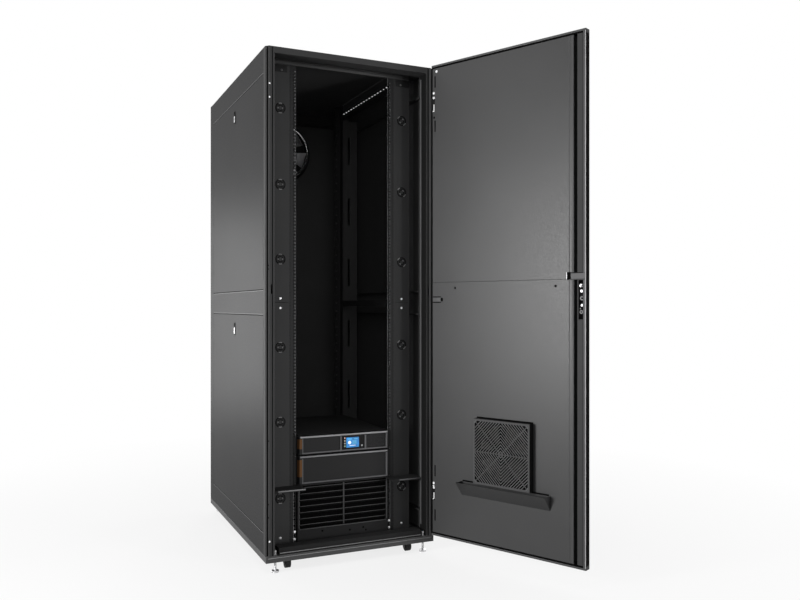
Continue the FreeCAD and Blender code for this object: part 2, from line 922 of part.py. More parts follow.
def inner_plates():
    """The two sheets that close the front door's inner side, below and above a seam."""
    back = front_inner_y - inner_plate
    left = along(latch_gap_start)
    right = door_half - door_skin
    fan_hole = bar_along_y(along(fan_centre_along), fan_centre_height, front_inner_y, back, fan_tip_radius)
    notches = hinge_notches(front_inner_y, 1)
    cuts = Part.makeCompound([fan_hole, notches] + hinge_slots())
    lower = box(left, right, front_inner_y, back, door_bottom + door_skin,
                inner_seam_height - inner_seam_gap / 2)
    upper = box(left, right, front_inner_y, back, inner_seam_height + inner_seam_gap / 2, door_top - door_skin)
    return [lower.cut(cuts), upper.cut(cuts)]


def latch_channel():
    """The upright channel at the front door's latch edge, open at the lock."""
    outer_y = front_inner_y - door_thickness + door_skin
    channel = tray(along(latch_channel_start), -door_half + door_skin, front_inner_y, outer_y,
                   door_bottom + door_skin, door_top - door_skin, latch_channel_wall, "-y")
    window = lock_window(front_inner_y, front_inner_y - latch_channel_wall, handle_bore_gap)
    return channel.cut(window)


def seam_strap():
    """The flat strap across the latch channel at the inner sheets' seam."""
    low = inner_seam_height - strap_drop
    return box(along(strap_start), along(strap_end), front_inner_y, front_inner_y + strap_thickness, low,
               low + strap_height)


def lock_window(y0, y1, gap):
    """The opening in a closed door for the lock's body."""
    x = along(handle_along)
    reach = lock_body_width / 2 + gap
    return box(x - reach, x + reach, y0, y1, handle_height - lock_body_bottom - gap,
               handle_height + lock_body_top + gap)


def lock_set(x, outer_y, inner_y, outward):
    """A swing handle's fixed part: the dish on the door's face and the lock's body behind the sheet."""
    reach = handle_dish_width / 2
    face = outer_y + outward * handle_dish_thickness
    dish = box(x - reach, x + reach, outer_y, face, handle_height - handle_dish_bottom,
               handle_height + handle_dish_top)
    inside = outer_y - outward * door_skin
    body_reach = lock_body_width / 2
    body = box(x - body_reach, x + body_reach, inside, inner_y + outward * (cam_thickness + 2 * cam_gap),
               handle_height - lock_body_bottom, handle_height + lock_body_top)
    bore = bar_along_y(x, handle_height, face, inner_y, handle_spindle_radius + handle_bore_gap)
    return [dish.cut(bore), body.cut(bore)]


def handle_spindle(x, outer_y, inner_y, outward):
    """The spindle that turns in the lock, with its cam inside and its fork for the lever outside."""
    head = outer_y + outward * (handle_dish_thickness + handle_lever_gap + handle_lever_thickness)
    collar = outer_y + outward * (handle_dish_thickness + handle_bore_gap)
    cam_y = inner_y + outward * cam_gap
    shaft = bar_along_y(x, handle_height, head, cam_y, handle_spindle_radius)
    slot = box(x - handle_spindle_radius, x + handle_spindle_radius, collar, head, handle_height,
               handle_height - handle_spindle_radius)
    shaft = shaft.cut(slot)
    cam = box(x - cam_width / 2, x + cam_width / 2, cam_y, cam_y + outward * cam_thickness,
              handle_height - handle_spindle_radius, handle_height + cam_length)
    pivot_y = (collar + head) / 2
    reach = handle_lever_width / 2
    pivot = bar_along_x(pivot_y, handle_height + handle_pivot_rise, x - reach, x + reach, handle_pivot_radius)
    return join([shaft, cam, pivot])


def handle_lever(x, outer_y, outward):
    """The lever, hung on the spindle's cross pin between two cheeks."""
    low = outer_y + outward * (handle_dish_thickness + handle_lever_gap)
    high = low + outward * handle_lever_thickness
    reach = handle_lever_width / 2
    pivot_y = outer_y + outward * (handle_dish_thickness + (handle_bore_gap + handle_lever_gap
                                                           + handle_lever_thickness) / 2)
    pivot_z = handle_height + handle_pivot_rise
    top = handle_height - handle_spindle_radius - handle_lever_gap
    arm = box(x - reach, x + reach, low, high, top - handle_lever_length, top)
    inner = handle_spindle_radius + handle_bore_gap
    cheeks = []
    for sign in (-1, 1):
        cheeks.append(box(x + sign * inner, x + sign * reach, low, high, top - handle_lever_gap,
                          pivot_z + handle_cheek_rise))
    bore = bar_along_x(pivot_y, pivot_z, x - reach, x + reach, handle_pivot_radius + handle_bore_gap)
    return join([arm] + cheeks).cut(bore)


# Door fan and scoop


def flat_face(corners):
    """A flat face round its corners."""
    return Part.Face(Part.makePolygon(corners + corners[:1]))


def blade_section(radius, angle, depth):
    """The four corners of a fan blade's section at a radius, set at its pitch."""
    side = blade_thickness / 2
    reach_y = depth / 2 - side
    reach_x = reach_y / math.tan(math.radians(angle))
    return [Vector(-reach_x, -reach_y - side, radius), Vector(reach_x, reach_y - side, radius),
            Vector(reach_x, reach_y + side, radius), Vector(-reach_x, -reach_y + side, radius)]


def twisted_blade(inner_radius, outer_radius, depth):
    """One fan blade along +Z about an axis along Y, twisted from a steep root to a flat tip in flat facets."""
    sections = []
    for step in range(blade_spans + 1):
        share = step / blade_spans
        radius = inner_radius + share * (outer_radius - inner_radius)
        angle = blade_root_angle + share * (blade_tip_angle - blade_root_angle)
        sections.append(blade_section(radius, angle, depth))
    faces = [flat_face(sections[0]), flat_face(sections[-1])]
    for low, high in zip(sections, sections[1:]):
        for index in range(len(low)):
            after = (index + 1) % len(low)
            faces.append(flat_face([low[index], low[after], high[after]]))
            faces.append(flat_face([low[index], high[after], high[index]]))
    blade = Part.makeSolid(Part.makeShell(faces))
    if blade.Volume < 0:
        blade.reverse()
    return blade


def fan_rotor(x, y, z, hub_radius, tip_radius, depth, blades, shaft_radius):
    """An axial fan's rotor about Y: a hub cup with twisted blades, bored for its shaft."""
    hub = bar_along_y(0, 0, -depth / 2, depth / 2, hub_radius)
    pieces = [hub]
    half_chord = depth / 2 / math.tan(math.radians(blade_root_angle))
    root = math.sqrt(hub_radius ** 2 - half_chord ** 2) - blade_thickness
    for index in range(blades):
        blade = twisted_blade(root, tip_radius - blade_thickness, depth)
        blade.rotate(Vector(0, 0, 0), Vector(0, 1, 0), index * 360 / blades)
        pieces.append(blade)
    rotor = join(pieces).cut(bar_along_y(0, 0, -depth / 2, depth / 2, shaft_radius + fit_gap))
    rotor.translate(Vector(x, y, z))
    return rotor


def door_fan_places():
    """The door fan's axis, and the faces of its box when the door is closed."""
    x = along(fan_centre_along)
    box_front = front_inner_y + fan_box_proud
    return x, fan_centre_height, box_front


def door_fan_box():
    """The square case of the door fan, open to the guard, with the motor's shaft on a spider."""
    x, z, face = door_fan_places()
    reach = fan_box_size / 2
    case = tray(x - reach, x + reach, front_inner_y, face - guard_thickness, z - reach, z + reach,
                fan_box_wall, "+y")
    duct = bar_along_y(x, z, front_inner_y, front_inner_y + fan_box_wall, fan_tip_radius)
    arm = box(x - fan_tip_radius - fan_box_wall, x + fan_tip_radius + fan_box_wall, front_inner_y,
              front_inner_y + fan_box_wall, z - fan_shaft_radius, z + fan_shaft_radius)
    shaft = bar_along_y(x, z, front_inner_y - door_thickness / 2, face - guard_thickness - fan_box_wall,
                        fan_shaft_radius)
    return join([case.cut(duct), arm, shaft])


def door_fan_guard():
    """The fan's guard: a frame filled with nested diamonds, tied by straight and slanted ribs."""
    x, z, face = door_fan_places()
    reach = fan_box_size / 2
    back = face - guard_thickness
    frame = box(x - reach, x + reach, back, face, z - reach, z + reach)
    inner = reach - guard_border
    window = diamond_window(x, z, inner, back, face)
    bars = []
    count = int((2 * inner - guard_corner) / guard_pitch)
    for index in range(1, count + 1):
        bars.append(diamond_ring(x, z, index * guard_pitch, back, face))
    half = guard_bar / 2
    level = box(x - 2 * inner, x + 2 * inner, back, face, z - half, z + half)
    bars.append(level)
    for angle in guard_slanted_ribs:
        rib = level.copy()
        rib.rotate(Vector(x, 0, z), Vector(0, 1, 0), angle)
        bars.append(rib)
    filling = bars[0].multiFuse(bars[1:]).common(window)
    return join([frame.cut(window), filling])


def diamond_window(x, z, inner, back, face):
    """The guard's opening: a square with its corners cut off."""
    cut = inner - guard_corner / 2
    points = [(-inner, -cut), (-cut, -inner), (cut, -inner), (inner, -cut), (inner, cut), (cut, inner),
              (-cut, inner), (-inner, cut)]
    corners = [Vector(x + dx, back, z + dz) for dx, dz in points]
    corners.append(corners[0])
    return Part.Face(Part.makePolygon(corners)).extrude(Vector(0, face - back, 0))


def diamond_ring(x, z, size, back, face):
    """One bar of the guard: a square ring standing on its corner, `size` from middle to corner."""
    rings = []
    for reach in (size + guard_bar / 2, size - guard_bar / 2):
        corners = [Vector(x + reach, back, z), Vector(x, back, z + reach), Vector(x - reach, back, z),
                   Vector(x, back, z - reach)]
        corners.append(corners[0])
        rings.append(Part.Face(Part.makePolygon(corners)).extrude(Vector(0, face - back, 0)))
    return rings[0].cut(rings[1])


def door_scoop():
    """The slanted air scoop under the door fan, open at its top, with a cheek at each end."""
    left = along(scoop_end)
    right = along(scoop_start)
    low = scoop_top - scoop_height
    face = front_inner_y
    tip = front_inner_y + scoop_proud
    outline = [(face, low), (tip, scoop_top), (face, scoop_top)]
    body = side_prism(outline, left, right)
    slope = scoop_wall * math.hypot(scoop_proud, scoop_height) / scoop_proud
    hollow_outline = [(face, low + slope), (tip, scoop_top + slope), (face, scoop_top + slope)]
    hollow = side_prism(hollow_outline, left + scoop_wall, right - scoop_wall)
    return body.cut(hollow)


# Rear door and exhaust fan


def rear_door_shell():
    """The rear door's outer sheet with the exhaust fan's slots."""
    shell = door_shell(rear_inner_y, rear_y, "-y")
    field = exhaust_ring_radius - exhaust_ring_wall
    slots = air_slots(0, exhaust_height, field, rear_y - door_skin, rear_y)
    spindle = bar_along_y(along(handle_along), handle_height, rear_inner_y, rear_y,
                          handle_spindle_radius + handle_bore_gap)
    notches = hinge_notches(rear_inner_y, -1)
    return shell.cut(Part.makeCompound([spindle, notches] + slots))


def rear_door_plate():
    """The sheet that closes the rear door's inner side, round the fan and the lock."""
    right = door_half - door_skin
    plate = box(-right, right, rear_inner_y, rear_inner_y + inner_plate, door_bottom + door_skin,
                door_top - door_skin)
    ring = bar_along_y(0, exhaust_height, rear_inner_y, rear_inner_y + inner_plate, exhaust_ring_radius)
    notches = hinge_notches(rear_inner_y, -1)
    window = lock_window(rear_inner_y, rear_inner_y + inner_plate, handle_bore_gap)
    return plate.cut(Part.makeCompound([ring, notches, window]))


def exhaust_ring():
    """The exhaust fan's round duct with its flange inside the door and the motor's arms and shaft."""
    outer = rear_y - door_skin
    inner = rear_inner_y - exhaust_ring_depth + door_thickness
    bore = exhaust_ring_radius - exhaust_ring_wall
    duct = bar_along_y(0, exhaust_height, inner, outer, exhaust_ring_radius)
    flange = bar_along_y(0, exhaust_height, rear_inner_y - sheet, rear_inner_y,
                         exhaust_ring_radius + exhaust_flange)
    body = join([duct, flange]).cut(bar_along_y(0, exhaust_height, inner, outer, bore))
    back = outer - exhaust_arm_thickness
    half = exhaust_arm / 2
    reach = bore + exhaust_ring_wall / 2
    level = box(-reach, reach, back, outer, exhaust_height - half, exhaust_height + half)
    cross = box(-half, half, back, outer, exhaust_height - reach, exhaust_height + reach)
    shaft = bar_along_y(0, exhaust_height, inner + sheet, outer, exhaust_shaft_radius)
    return join([body, level, cross, shaft])


def exhaust_rotor():
    """The exhaust fan's rotor inside its duct."""
    outer = rear_y - door_skin - exhaust_arm_thickness
    y = outer - exhaust_arm_gap - exhaust_fan_depth / 2
    return fan_rotor(0, y, exhaust_height, exhaust_hub_radius, exhaust_tip_radius, exhaust_fan_depth,
                     exhaust_blades, exhaust_shaft_radius)


# The cabinet's nodes


def build_cabinet():
    """The pieces that stand still."""
    add("base_plate", base_plate())
    add("base_skirts", base_skirts())
    add("front_posts", both_sides(front_post()))
    add("rear_posts", both_sides(rear_post()))
    add("headers", headers())
    add("sills", sills())
    add("side_bands", side_bands())
    add("roof_panel", roof_panel())
    front_rails = both_sides(rail(rail_y, 1, unit_holes))
    rear_rails = both_sides(rail(rear_rail_y, -1, unit_holes[1:2]))
    add("rack_rails", front_rails + rear_rails)
    add("filler_panels", filler_panels())
    add("baffle_shelves", baffle_shelves())
    add("depth_braces", depth_braces())
    add("cable_panels", cable_panels())
    add("hinge_pins", hinge_pins())


def build_equipment():
    """The cooling unit, the battery module and the power unit."""
    add("cooling_chassis", cooling_chassis())
    add("cooling_grille", cooling_grille())
    add("cooling_coils", coils())
    add("compressor", compressor())
    add("blower_housing", blower_housing())
    add("blower_wheel", blower_wheel())
    add("battery_chassis", module_chassis(cooling_top, battery_top))
    add("battery_bezel", battery_bezel())
    add("power_chassis", module_chassis(battery_top, power_top))
    add("power_bezel", power_bezel())
    add("power_display", power_display())
    add("power_key", power_key())


def build_running_gear():
    """The casters, levelling feet and lift-off side panels."""
    places = ["front_left", "front_right", "rear_left", "rear_right"]
    rear_forks = []
    for place, (x, y) in zip(places, corner_places(caster_offset, caster_setback)):
        add("caster_wheel_" + place, caster_wheel(x, y))
        if place.startswith("front"):
            add("caster_fork_" + place, caster_fork(x, y))
        else:
            rear_forks.append(caster_fork(x, y))
    add("caster_forks_rear", rear_forks)
    for place, (x, y) in zip(places, corner_places(foot_x, foot_setback)):
        add("levelling_foot_" + place, levelling_foot(x, y))
    halves = {"lower": (base_top + bottom_band_height, middle_low),
              "upper": (middle_high, roof_top - top_band_height)}
    for half, (low, high) in halves.items():
        panel = side_panel(low, high)
        add("side_panel_right_" + half, panel)
        add("side_panel_left_" + half, mirrored(panel))


def build_front_door():
    """The front door with its fan, scoop and handle, modelled closed and then swung open."""
    outer_y = front_inner_y - door_thickness
    x = along(handle_along)
    pieces = {"front_door_shell": [front_door_shell()], "front_door_inner_plates": inner_plates(),
              "front_latch_channel": [join([latch_channel(), seam_strap()])],
              "front_door_hinges": door_knuckles(front_hinge_y, front_inner_y, 1),
              "door_fan_box": [door_fan_box()], "door_fan_guard": [door_fan_guard()],
              "door_scoop": [door_scoop()],
              "front_lock": lock_set(x, outer_y, front_inner_y, -1),
              "front_handle_spindle": [handle_spindle(x, outer_y, front_inner_y, -1)],
              "front_handle_lever": [handle_lever(x, outer_y, -1)]}
    fan_x, fan_z, face = door_fan_places()
    fan_y = face - guard_thickness - fan_box_wall - fan_depth / 2
    pieces["door_fan_rotor"] = [fan_rotor(fan_x, fan_y, fan_z, fan_hub_radius, fan_tip_radius - fan_box_wall,
                                          fan_depth, fan_blades, fan_shaft_radius)]
    for name, solids in pieces.items():
        add(name, [swing_open(solid) for solid in solids])


def build_rear_door():
    """The closed rear door with its exhaust fan and handle."""
    x = along(handle_along)
    add("rear_door_shell", rear_door_shell())
    add("rear_door_plate", rear_door_plate())
    add("rear_door_hinges", door_knuckles(rear_hinge_y, rear_inner_y, -1))
    add("exhaust_ring", exhaust_ring())
    add("exhaust_rotor", exhaust_rotor())
    add("rear_lock", lock_set(x, rear_y, rear_inner_y, 1))
    add("rear_handle_spindle", handle_spindle(x, rear_y, rear_inner_y, 1))
    add("rear_handle_lever", handle_lever(x, rear_y, 1))


def export_nodes():
    """Writes each node to its own file."""
    os.makedirs("parts", exist_ok=True)
    for name, solids in nodes.items():
        shape = solids[0] if len(solids) == 1 else Part.makeCompound(solids)
        shape.exportStep("parts/" + name + ".step")


build_cabinet()
build_equipment()
build_running_gear()
build_front_door()
build_rear_door()
export_nodes()
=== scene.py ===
import logging
import math
from dataclasses import dataclass
from enum import Enum
from typing import Any, Iterable, Optional

import bmesh
import bpy
from bpy.types import Material, Node, NodeSocket
from mathutils import Matrix, Vector


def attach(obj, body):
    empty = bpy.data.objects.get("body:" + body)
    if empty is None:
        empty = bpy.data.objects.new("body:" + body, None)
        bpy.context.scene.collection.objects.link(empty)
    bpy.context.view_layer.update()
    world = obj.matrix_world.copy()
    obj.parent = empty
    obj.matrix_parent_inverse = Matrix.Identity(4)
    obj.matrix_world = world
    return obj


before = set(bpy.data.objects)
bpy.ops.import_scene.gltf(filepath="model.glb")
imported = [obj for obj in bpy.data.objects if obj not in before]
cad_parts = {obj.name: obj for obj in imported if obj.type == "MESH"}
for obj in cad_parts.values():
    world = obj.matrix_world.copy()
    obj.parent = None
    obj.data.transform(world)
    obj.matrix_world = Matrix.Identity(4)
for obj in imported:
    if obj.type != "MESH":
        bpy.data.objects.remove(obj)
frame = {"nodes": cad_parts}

log = logging.getLogger("rack_cabinet")

Pair = tuple[float, float]
Triple = tuple[float, float, float]
Four = tuple[float, float, float, float]
Rows = Iterable[tuple[float, ...]]

# Sizes that several groups share, in metres and degrees
HALF_WIDTH = 0.400
FRONT_FACE = -0.600
RAIL_FACE = -0.465
POST_INNER = 0.362
ROOF_UNDER = 2.253
DOOR_OPENED = 115.0
FOLD = (0.0008, 0.0003)  # the thickness and eased edge of the thin strips of painted highlight and painted shade
HAIR = (0.0006, 0.0002)  # the same for a thinner one
CORNERS = ("front_left", "front_right", "rear_left", "rear_right")


class Lamp(Enum):
    """The colours of the power unit's small lamps, from the top down."""

    FAULT = (0.80, 0.52, 0.48)
    STORE = (0.80, 0.68, 0.50)
    BYPASS = (0.74, 0.74, 0.70)
    MAINS = (0.52, 0.78, 0.56)


class Side(Enum):
    """The two sides of the cabinet, as the sign of X."""

    LEFT = -1
    RIGHT = 1


class Slot(Enum):
    """The record's material slots that the pieces take."""

    COAT = "black_powder_coat"
    PLASTIC = "black_plastic"
    METAL = "handle_metal"
    ZINC = "zinc"
    SCREEN = "screen"


# Finishes


def grey(level: float, blue: float = 0.0005) -> Triple:
    """A near-neutral grey with a little more blue."""
    return (level, level, level + blue)


def shade(colour: Triple, share: float = 1.0) -> Four:
    """A colour made darker or paler, with full cover."""
    red, green, blue = (min(value * share, 1.0) for value in colour)
    return (red, green, blue, 1.0)


class Board:
    """A node tree, with short calls to add and join nodes."""

    def __init__(self, owner: bpy.types.ID) -> None:
        """Clears the node tree of a material or world.

        Args:
            owner: The material or world.
        """
        owner.use_nodes = True
        self.tree = owner.node_tree
        self.tree.nodes.clear()

    def join(self, source: NodeSocket, target: NodeSocket) -> None:
        """Links two sockets."""
        self.tree.links.new(source, target)

    def add(self, kind: str, sockets: dict[Any, Any], **settings: Any) -> Node:
        """Adds a node and fills its sockets.

        Args:
            kind: The node's type.
            sockets: A value or a socket for each input, by name or number.
            settings: The node's own properties.

        Returns:
            The new node.
        """
        node = self.tree.nodes.new(kind)
        for key, value in settings.items():
            setattr(node, key, value)
        self.fill(node, sockets)
        return node

    def fill(self, node: Node, sockets: dict[Any, Any]) -> None:
        """Sets or links a node's inputs.

        Args:
            node: The node.
            sockets: A value or a socket for each input, by name or number.
        """
        for key, value in sockets.items():
            if isinstance(value, NodeSocket):
                self.join(value, node.inputs[key])
            else:
                node.inputs[key].default_value = value

    def spread(self, value: NodeSocket, low: float, high: float, first: float = 0.3,
               last: float = 0.7) -> NodeSocket:
        """Maps a value from first..last to low..high."""
        sockets = {"Value": value, "From Min": first, "From Max": last, "To Min": low, "To Max": high}
        return self.add("ShaderNodeMapRange", sockets).outputs[0]

    def mix(self, share: Any, first: Any, second: Any) -> NodeSocket:
        """Blends two colours by a share.

        Args:
            share: The second colour's share.
            first: The colour at a share of 0.
            second: The colour at a share of 1.

        Returns:
            The blended colour.
        """
        node = self.add("ShaderNodeMix", {}, data_type="RGBA")
        self.fill(node, {0: share, 6: first, 7: second})
        return node.outputs[2]

    def sum(self, kind: str, first: Any, second: Any = 0.0) -> NodeSocket:
        """One step of arithmetic on two values."""
        return self.add("ShaderNodeMath", {0: first, 1: second}, operation=kind).outputs[0]

    def over(self, value: NodeSocket, limit: float) -> NodeSocket:
        """A mask that is 1 where a value is over a limit."""
        return self.sum("GREATER_THAN", value, limit)

    def under(self, value: NodeSocket, limit: float) -> NodeSocket:
        """A mask that is 1 where a value is under a limit."""
        return self.sum("LESS_THAN", value, limit)

    def both(self, first: NodeSocket, second: NodeSocket) -> NodeSocket:
        """A mask that is 1 where two masks are."""
        return self.sum("MULTIPLY", first, second)

    def either(self, first: NodeSocket, second: NodeSocket) -> NodeSocket:
        """A mask that is 1 where one of two masks is."""
        return self.sum("MAXIMUM", first, second)

    def between(self, value: NodeSocket, low: float, high: float) -> NodeSocket:
        """A mask that is 1 where a value is between two limits."""
        return self.both(self.over(value, low), self.under(value, high))

    def size(self, value: NodeSocket) -> NodeSocket:
        """A value without its sign."""
        return self.sum("ABSOLUTE", value)

    def seen(self) -> NodeSocket:
        """A mask that is 1 for rays from the camera, straight or by way of a reflection or glass.

        Returns:
            The mask.
        """
        path = self.add("ShaderNodeLightPath", {}).outputs
        straight = self.either(path["Is Camera Ray"], path["Is Glossy Ray"])
        return self.either(straight, path["Is Transmission Ray"])


class Skin(Board):
    """A material's board, with its surface shader in place."""

    def __init__(self, name: str) -> None:
        """Starts a material that holds only its output and its surface shader.

        Args:
            name: The material's name.
        """
        self.material = bpy.data.materials.new(name)
        super().__init__(self.material)
        self.coords = self.add("ShaderNodeTexCoord", {}).outputs
        self.shader = self.add("ShaderNodeBsdfPrincipled", {})
        self.output = self.add("ShaderNodeOutputMaterial", {"Surface": self.shader.outputs["BSDF"]})

    def noise(self, scale: float, detail: float = 2.0, stretch: Optional[Triple] = None) -> NodeSocket:
        """A noise in the piece's own space.

        Args:
            scale: Blotches per metre.
            detail: Octaves.
            stretch: A scale along each axis before the noise.

        Returns:
            The noise's value.
        """
        place = self.coords["Object"]
        if stretch is not None:
            place = self.add("ShaderNodeMapping", {"Vector": place, "Scale": stretch}).outputs["Vector"]
        return self.add("ShaderNodeTexNoise", {"Vector": place, "Scale": scale, "Detail": detail}).outputs[0]

    def blotch(self, scale: float, detail: float, first: Four, second: Four) -> NodeSocket:
        """Two colours that run into each other in soft blotches."""
        return self.mix(self.spread(self.noise(scale, detail), 0.0, 1.0), first, second)

    def axis(self, source: str, letter: str) -> NodeSocket:
        """One coordinate of the piece's own point or normal."""
        return self.add("ShaderNodeSeparateXYZ", {0: self.coords[source]}).outputs[letter]

    def along(self, source: str, degrees: float) -> NodeSocket:
        """The piece's own point or normal, measured along a level direction at an angle from X.

        Args:
            source: Object for the point, Normal for the normal.
            degrees: The direction's angle from X.

        Returns:
            The measure.
        """
        turn = math.radians(degrees)
        first = self.sum("MULTIPLY", self.axis(source, "X"), math.cos(turn))
        return self.sum("ADD", first, self.sum("MULTIPLY", self.axis(source, "Y"), math.sin(turn)))

    def rounded(self, radius: float) -> NodeSocket:
        """A normal that turns smoothly round sharp edges."""
        return self.add("ShaderNodeBevel", {"Radius": radius}, samples=4).outputs["Normal"]

    def edges(self, normal: NodeSocket) -> NodeSocket:
        """A mask that is 1 on sharp edges and 0 on flats.

        Args:
            normal: The rounded normal.

        Returns:
            The mask.
        """
        flat = self.add("ShaderNodeNewGeometry", {}).outputs["Normal"]
        across = self.add("ShaderNodeVectorMath", {0: normal, 1: flat}, operation="DOT_PRODUCT")
        return self.spread(across.outputs["Value"], 1.0, 0.0, 0.80, 0.985)

    def bump(self, height: NodeSocket, depth: float, normal: NodeSocket) -> None:
        """Sets the shader's normal from a height and a base normal."""
        node = self.add("ShaderNodeBump", {"Height": height, "Strength": 1.0, "Distance": depth, "Normal": normal})
        self.join(node.outputs["Normal"], self.shader.inputs["Normal"])


@dataclass(frozen=True)
class PowderCoat:
    """Baked powder paint on sheet metal: fine orange peel, faint mottling and paler sharp edges, a painted highlight.
    """

    name: str
    colour: Triple = grey(0.030)
    roughness: float = 0.42
    grain: float = 900.0
    depth: float = 0.00007
    edge_highlight: float = 1.7
    edge: float = 0.0012
    shine: float = 0.2

    def build(self) -> Material:
        """Makes the material.

        Returns:
            The material.
        """
        board = Skin(self.name)
        normal = board.rounded(self.edge)
        # painted highlight: sharp edges take a paler copy of the colour
        colour = board.mix(board.edges(normal), self.tint(board), shade(self.colour, self.edge_highlight))
        rough = board.spread(board.noise(self.grain / 6), self.roughness - 0.05, self.roughness + 0.05)
        board.fill(board.shader, {"Base Color": colour, "Roughness": rough, "Specular IOR Level": self.shine})
        board.bump(board.noise(self.grain, 3.0), self.depth, normal)
        return board.material

    def tint(self, board: Skin) -> NodeSocket:
        """The paint's colour with its mottling."""
        return board.blotch(3.0, 4.0, shade(self.colour, 0.93), shade(self.colour, 1.07))


@dataclass(frozen=True)
class RailCoat(PowderCoat):
    """Powder paint on the rack rails, with painted light on the upright walls of the punched square holes."""

    # painted light: the pale colour of the holes' upright walls
    cut: Triple = grey(0.55, 0.01)
    sheet: float = 0.002

    def tint(self, board: Skin) -> NodeSocket:
        """The paint's colour, with painted light on the holes' upright walls.

        Args:
            board: The material's board.

        Returns:
            The colour.
        """
        side = board.over(board.size(board.axis("Normal", "X")), 0.7)
        front = board.under(board.axis("Object", "Y"), RAIL_FACE + self.sheet)
        return board.mix(board.both(side, front), super().tint(board), shade(self.cut))


@dataclass(frozen=True)
class BezelCoat(PowderCoat):
    """A moulded bezel: a bright crest of painted highlight, satin rims, dark sunk fields, a warm-coloured grip at its
    left end and painted shade over the rest of that end.
    """

    colour: Triple = grey(0.020)
    roughness: float = 0.45
    grain: float = 1500.0
    depth: float = 0.00004
    shine: float = 0.1
    rim: Triple = grey(0.15, 0.005)
    crest: Triple = grey(0.42, 0.01)
    flare: Triple = (0.155, 0.072, 0.028)
    deep: Triple = grey(0.004, 0.0)
    face: float = -0.485
    pocket: float = 0.004
    grip: float = 0.012
    left: Pair = (-0.2110, -0.2030)
    span: Pair = (0.0, 1.0)
    top: Pair = (1.0, 1.0)
    screen: Pair = (1.0, 1.0)

    def tint(self, board: Skin) -> NodeSocket:
        """The colours of the fields, the rims, the crest's painted highlight, the left end's painted shade and the
        grip, in that order.

        Args:
            board: The material's board.

        Returns:
            The colour.
        """
        base = super().tint(board)
        across, depth, height = (board.axis("Object", letter) for letter in "XYZ")
        step = self.face + self.pocket / 2
        proud = board.under(depth, step)
        end = board.under(across, self.left[1])
        grip = board.both(end, board.under(depth, self.face + self.grip))
        coats = (
            (board.both(board.over(depth, step), board.between(across, *self.screen)), shade(self.deep)),
            (proud, shade(self.rim)),
            (board.between(height, *self.top), base),
            # painted highlight along the bezel's top
            (board.both(board.over(height, self.top[1]), proud), shade(self.crest)),
            # painted shade: the left end goes back to the dark base, but for the grip
            (board.under(across, self.left[0]), base),
            (board.both(end, board.under(height, self.top[1])), base),
            (board.both(grip, board.between(height, *self.span)), shade(self.flare)),
        )
        colour = base
        for mask, coat in coats:
            colour = board.mix(mask, colour, coat)
        return colour


@dataclass(frozen=True)
class BandCoat(PowderCoat):
    """Powder paint that is paler in one level band."""

    band: Pair = (1.2550, 1.2770)
    pale: Triple = grey(0.16, 0.002)

    def tint(self, board: Skin) -> NodeSocket:
        """The paint's colour, paler between the band's two heights."""
        band = board.between(board.axis("Object", "Z"), *self.band)
        return board.mix(band, super().tint(board), shade(self.pale))


@dataclass(frozen=True)
class PostCoat(PowderCoat):
    """Powder paint on the front posts, with painted shade on the walls that face the opening."""

    near: float = POST_INNER + 0.002
    # painted shade: the near-black colour of the posts' inner walls
    deep: Triple = grey(0.008, 0.0)

    def tint(self, board: Skin) -> NodeSocket:
        """The paint's colour, with painted shade on the inner walls.

        Args:
            board: The material's board.

        Returns:
            The colour.
        """
        wall = board.over(board.size(board.axis("Normal", "X")), 0.9)
        near = board.under(board.size(board.axis("Object", "X")), self.near)
        return board.mix(board.both(wall, near), super().tint(board), shade(self.deep))


@dataclass(frozen=True)
class WallCoat(PowderCoat):
    """Powder paint on the walls and the roof, with painted fill light where a face looks into the cabinet."""

    # painted fill light: the paler colour of faces inside the cabinet
    inner: Triple = grey(0.10, 0.001)

    def tint(self, board: Skin) -> NodeSocket:
        """The paint's colour, with painted fill light on faces that look inward, forward or down.

        Args:
            board: The material's board.

        Returns:
            The colour.
        """
        facing = board.sum("MULTIPLY", board.axis("Normal", "X"), board.axis("Object", "X"))
        forward = board.under(board.axis("Normal", "Y"), -0.5)
        below = board.under(board.axis("Normal", "Z"), -0.5)
        within = board.either(board.under(facing, -0.2), board.either(forward, below))
        return board.mix(within, super().tint(board), shade(self.inner))


@dataclass(frozen=True)
class DoorCoat(PowderCoat):
    """Powder paint on the front door's tray, with painted shade on the edge that closes last."""

    # painted shade: the near-black colour of the free edge's face
    deep: Triple = grey(0.004, 0.0)

    def tint(self, board: Skin) -> NodeSocket:
        """The paint's colour, with painted shade on the free edge."""
        edge = board.over(board.along("Normal", DOOR_OPENED - 180.0), 0.95)
        return board.mix(edge, super().tint(board), shade(self.deep))


@dataclass(frozen=True)
class GrilleCoat(PowderCoat):
    """Powder paint on a slatted front, with painted shade on the slanted faces of the slats."""

    # painted shade: the near-black colour of the slats' slanted faces
    deep: Triple = grey(0.0045, 0.0)

    def tint(self, board: Skin) -> NodeSocket:
        """The paint's colour, with painted shade on slanted faces."""
        slanted = board.between(board.size(board.axis("Normal", "Z")), 0.3, 0.97)
        return board.mix(slanted, super().tint(board), shade(self.deep))


@dataclass(frozen=True)
class Moulded:
    """Moulded plastic or rubber with a fine spark-eroded grain."""

    name: str
    colour: Triple
    roughness: float = 0.5
    grain: float = 1500.0
    depth: float = 0.00005
    edge: float = 0.0006
    shine: float = 0.5

    def build(self) -> Material:
        """Makes the material.

        Returns:
            The material.
        """
        board = Skin(self.name)
        rough = board.spread(board.noise(200.0), self.roughness - 0.06, self.roughness + 0.06)
        board.fill(board.shader, {"Base Color": self.tint(board), "Roughness": rough,
                                  "Specular IOR Level": self.shine})
        board.bump(board.noise(self.grain), self.depth, board.rounded(self.edge))
        return board.material

    def tint(self, board: Skin) -> NodeSocket:
        """The plastic's colour with its faint clouding."""
        return board.blotch(60.0, 3.0, shade(self.colour, 0.85), shade(self.colour, 1.15))


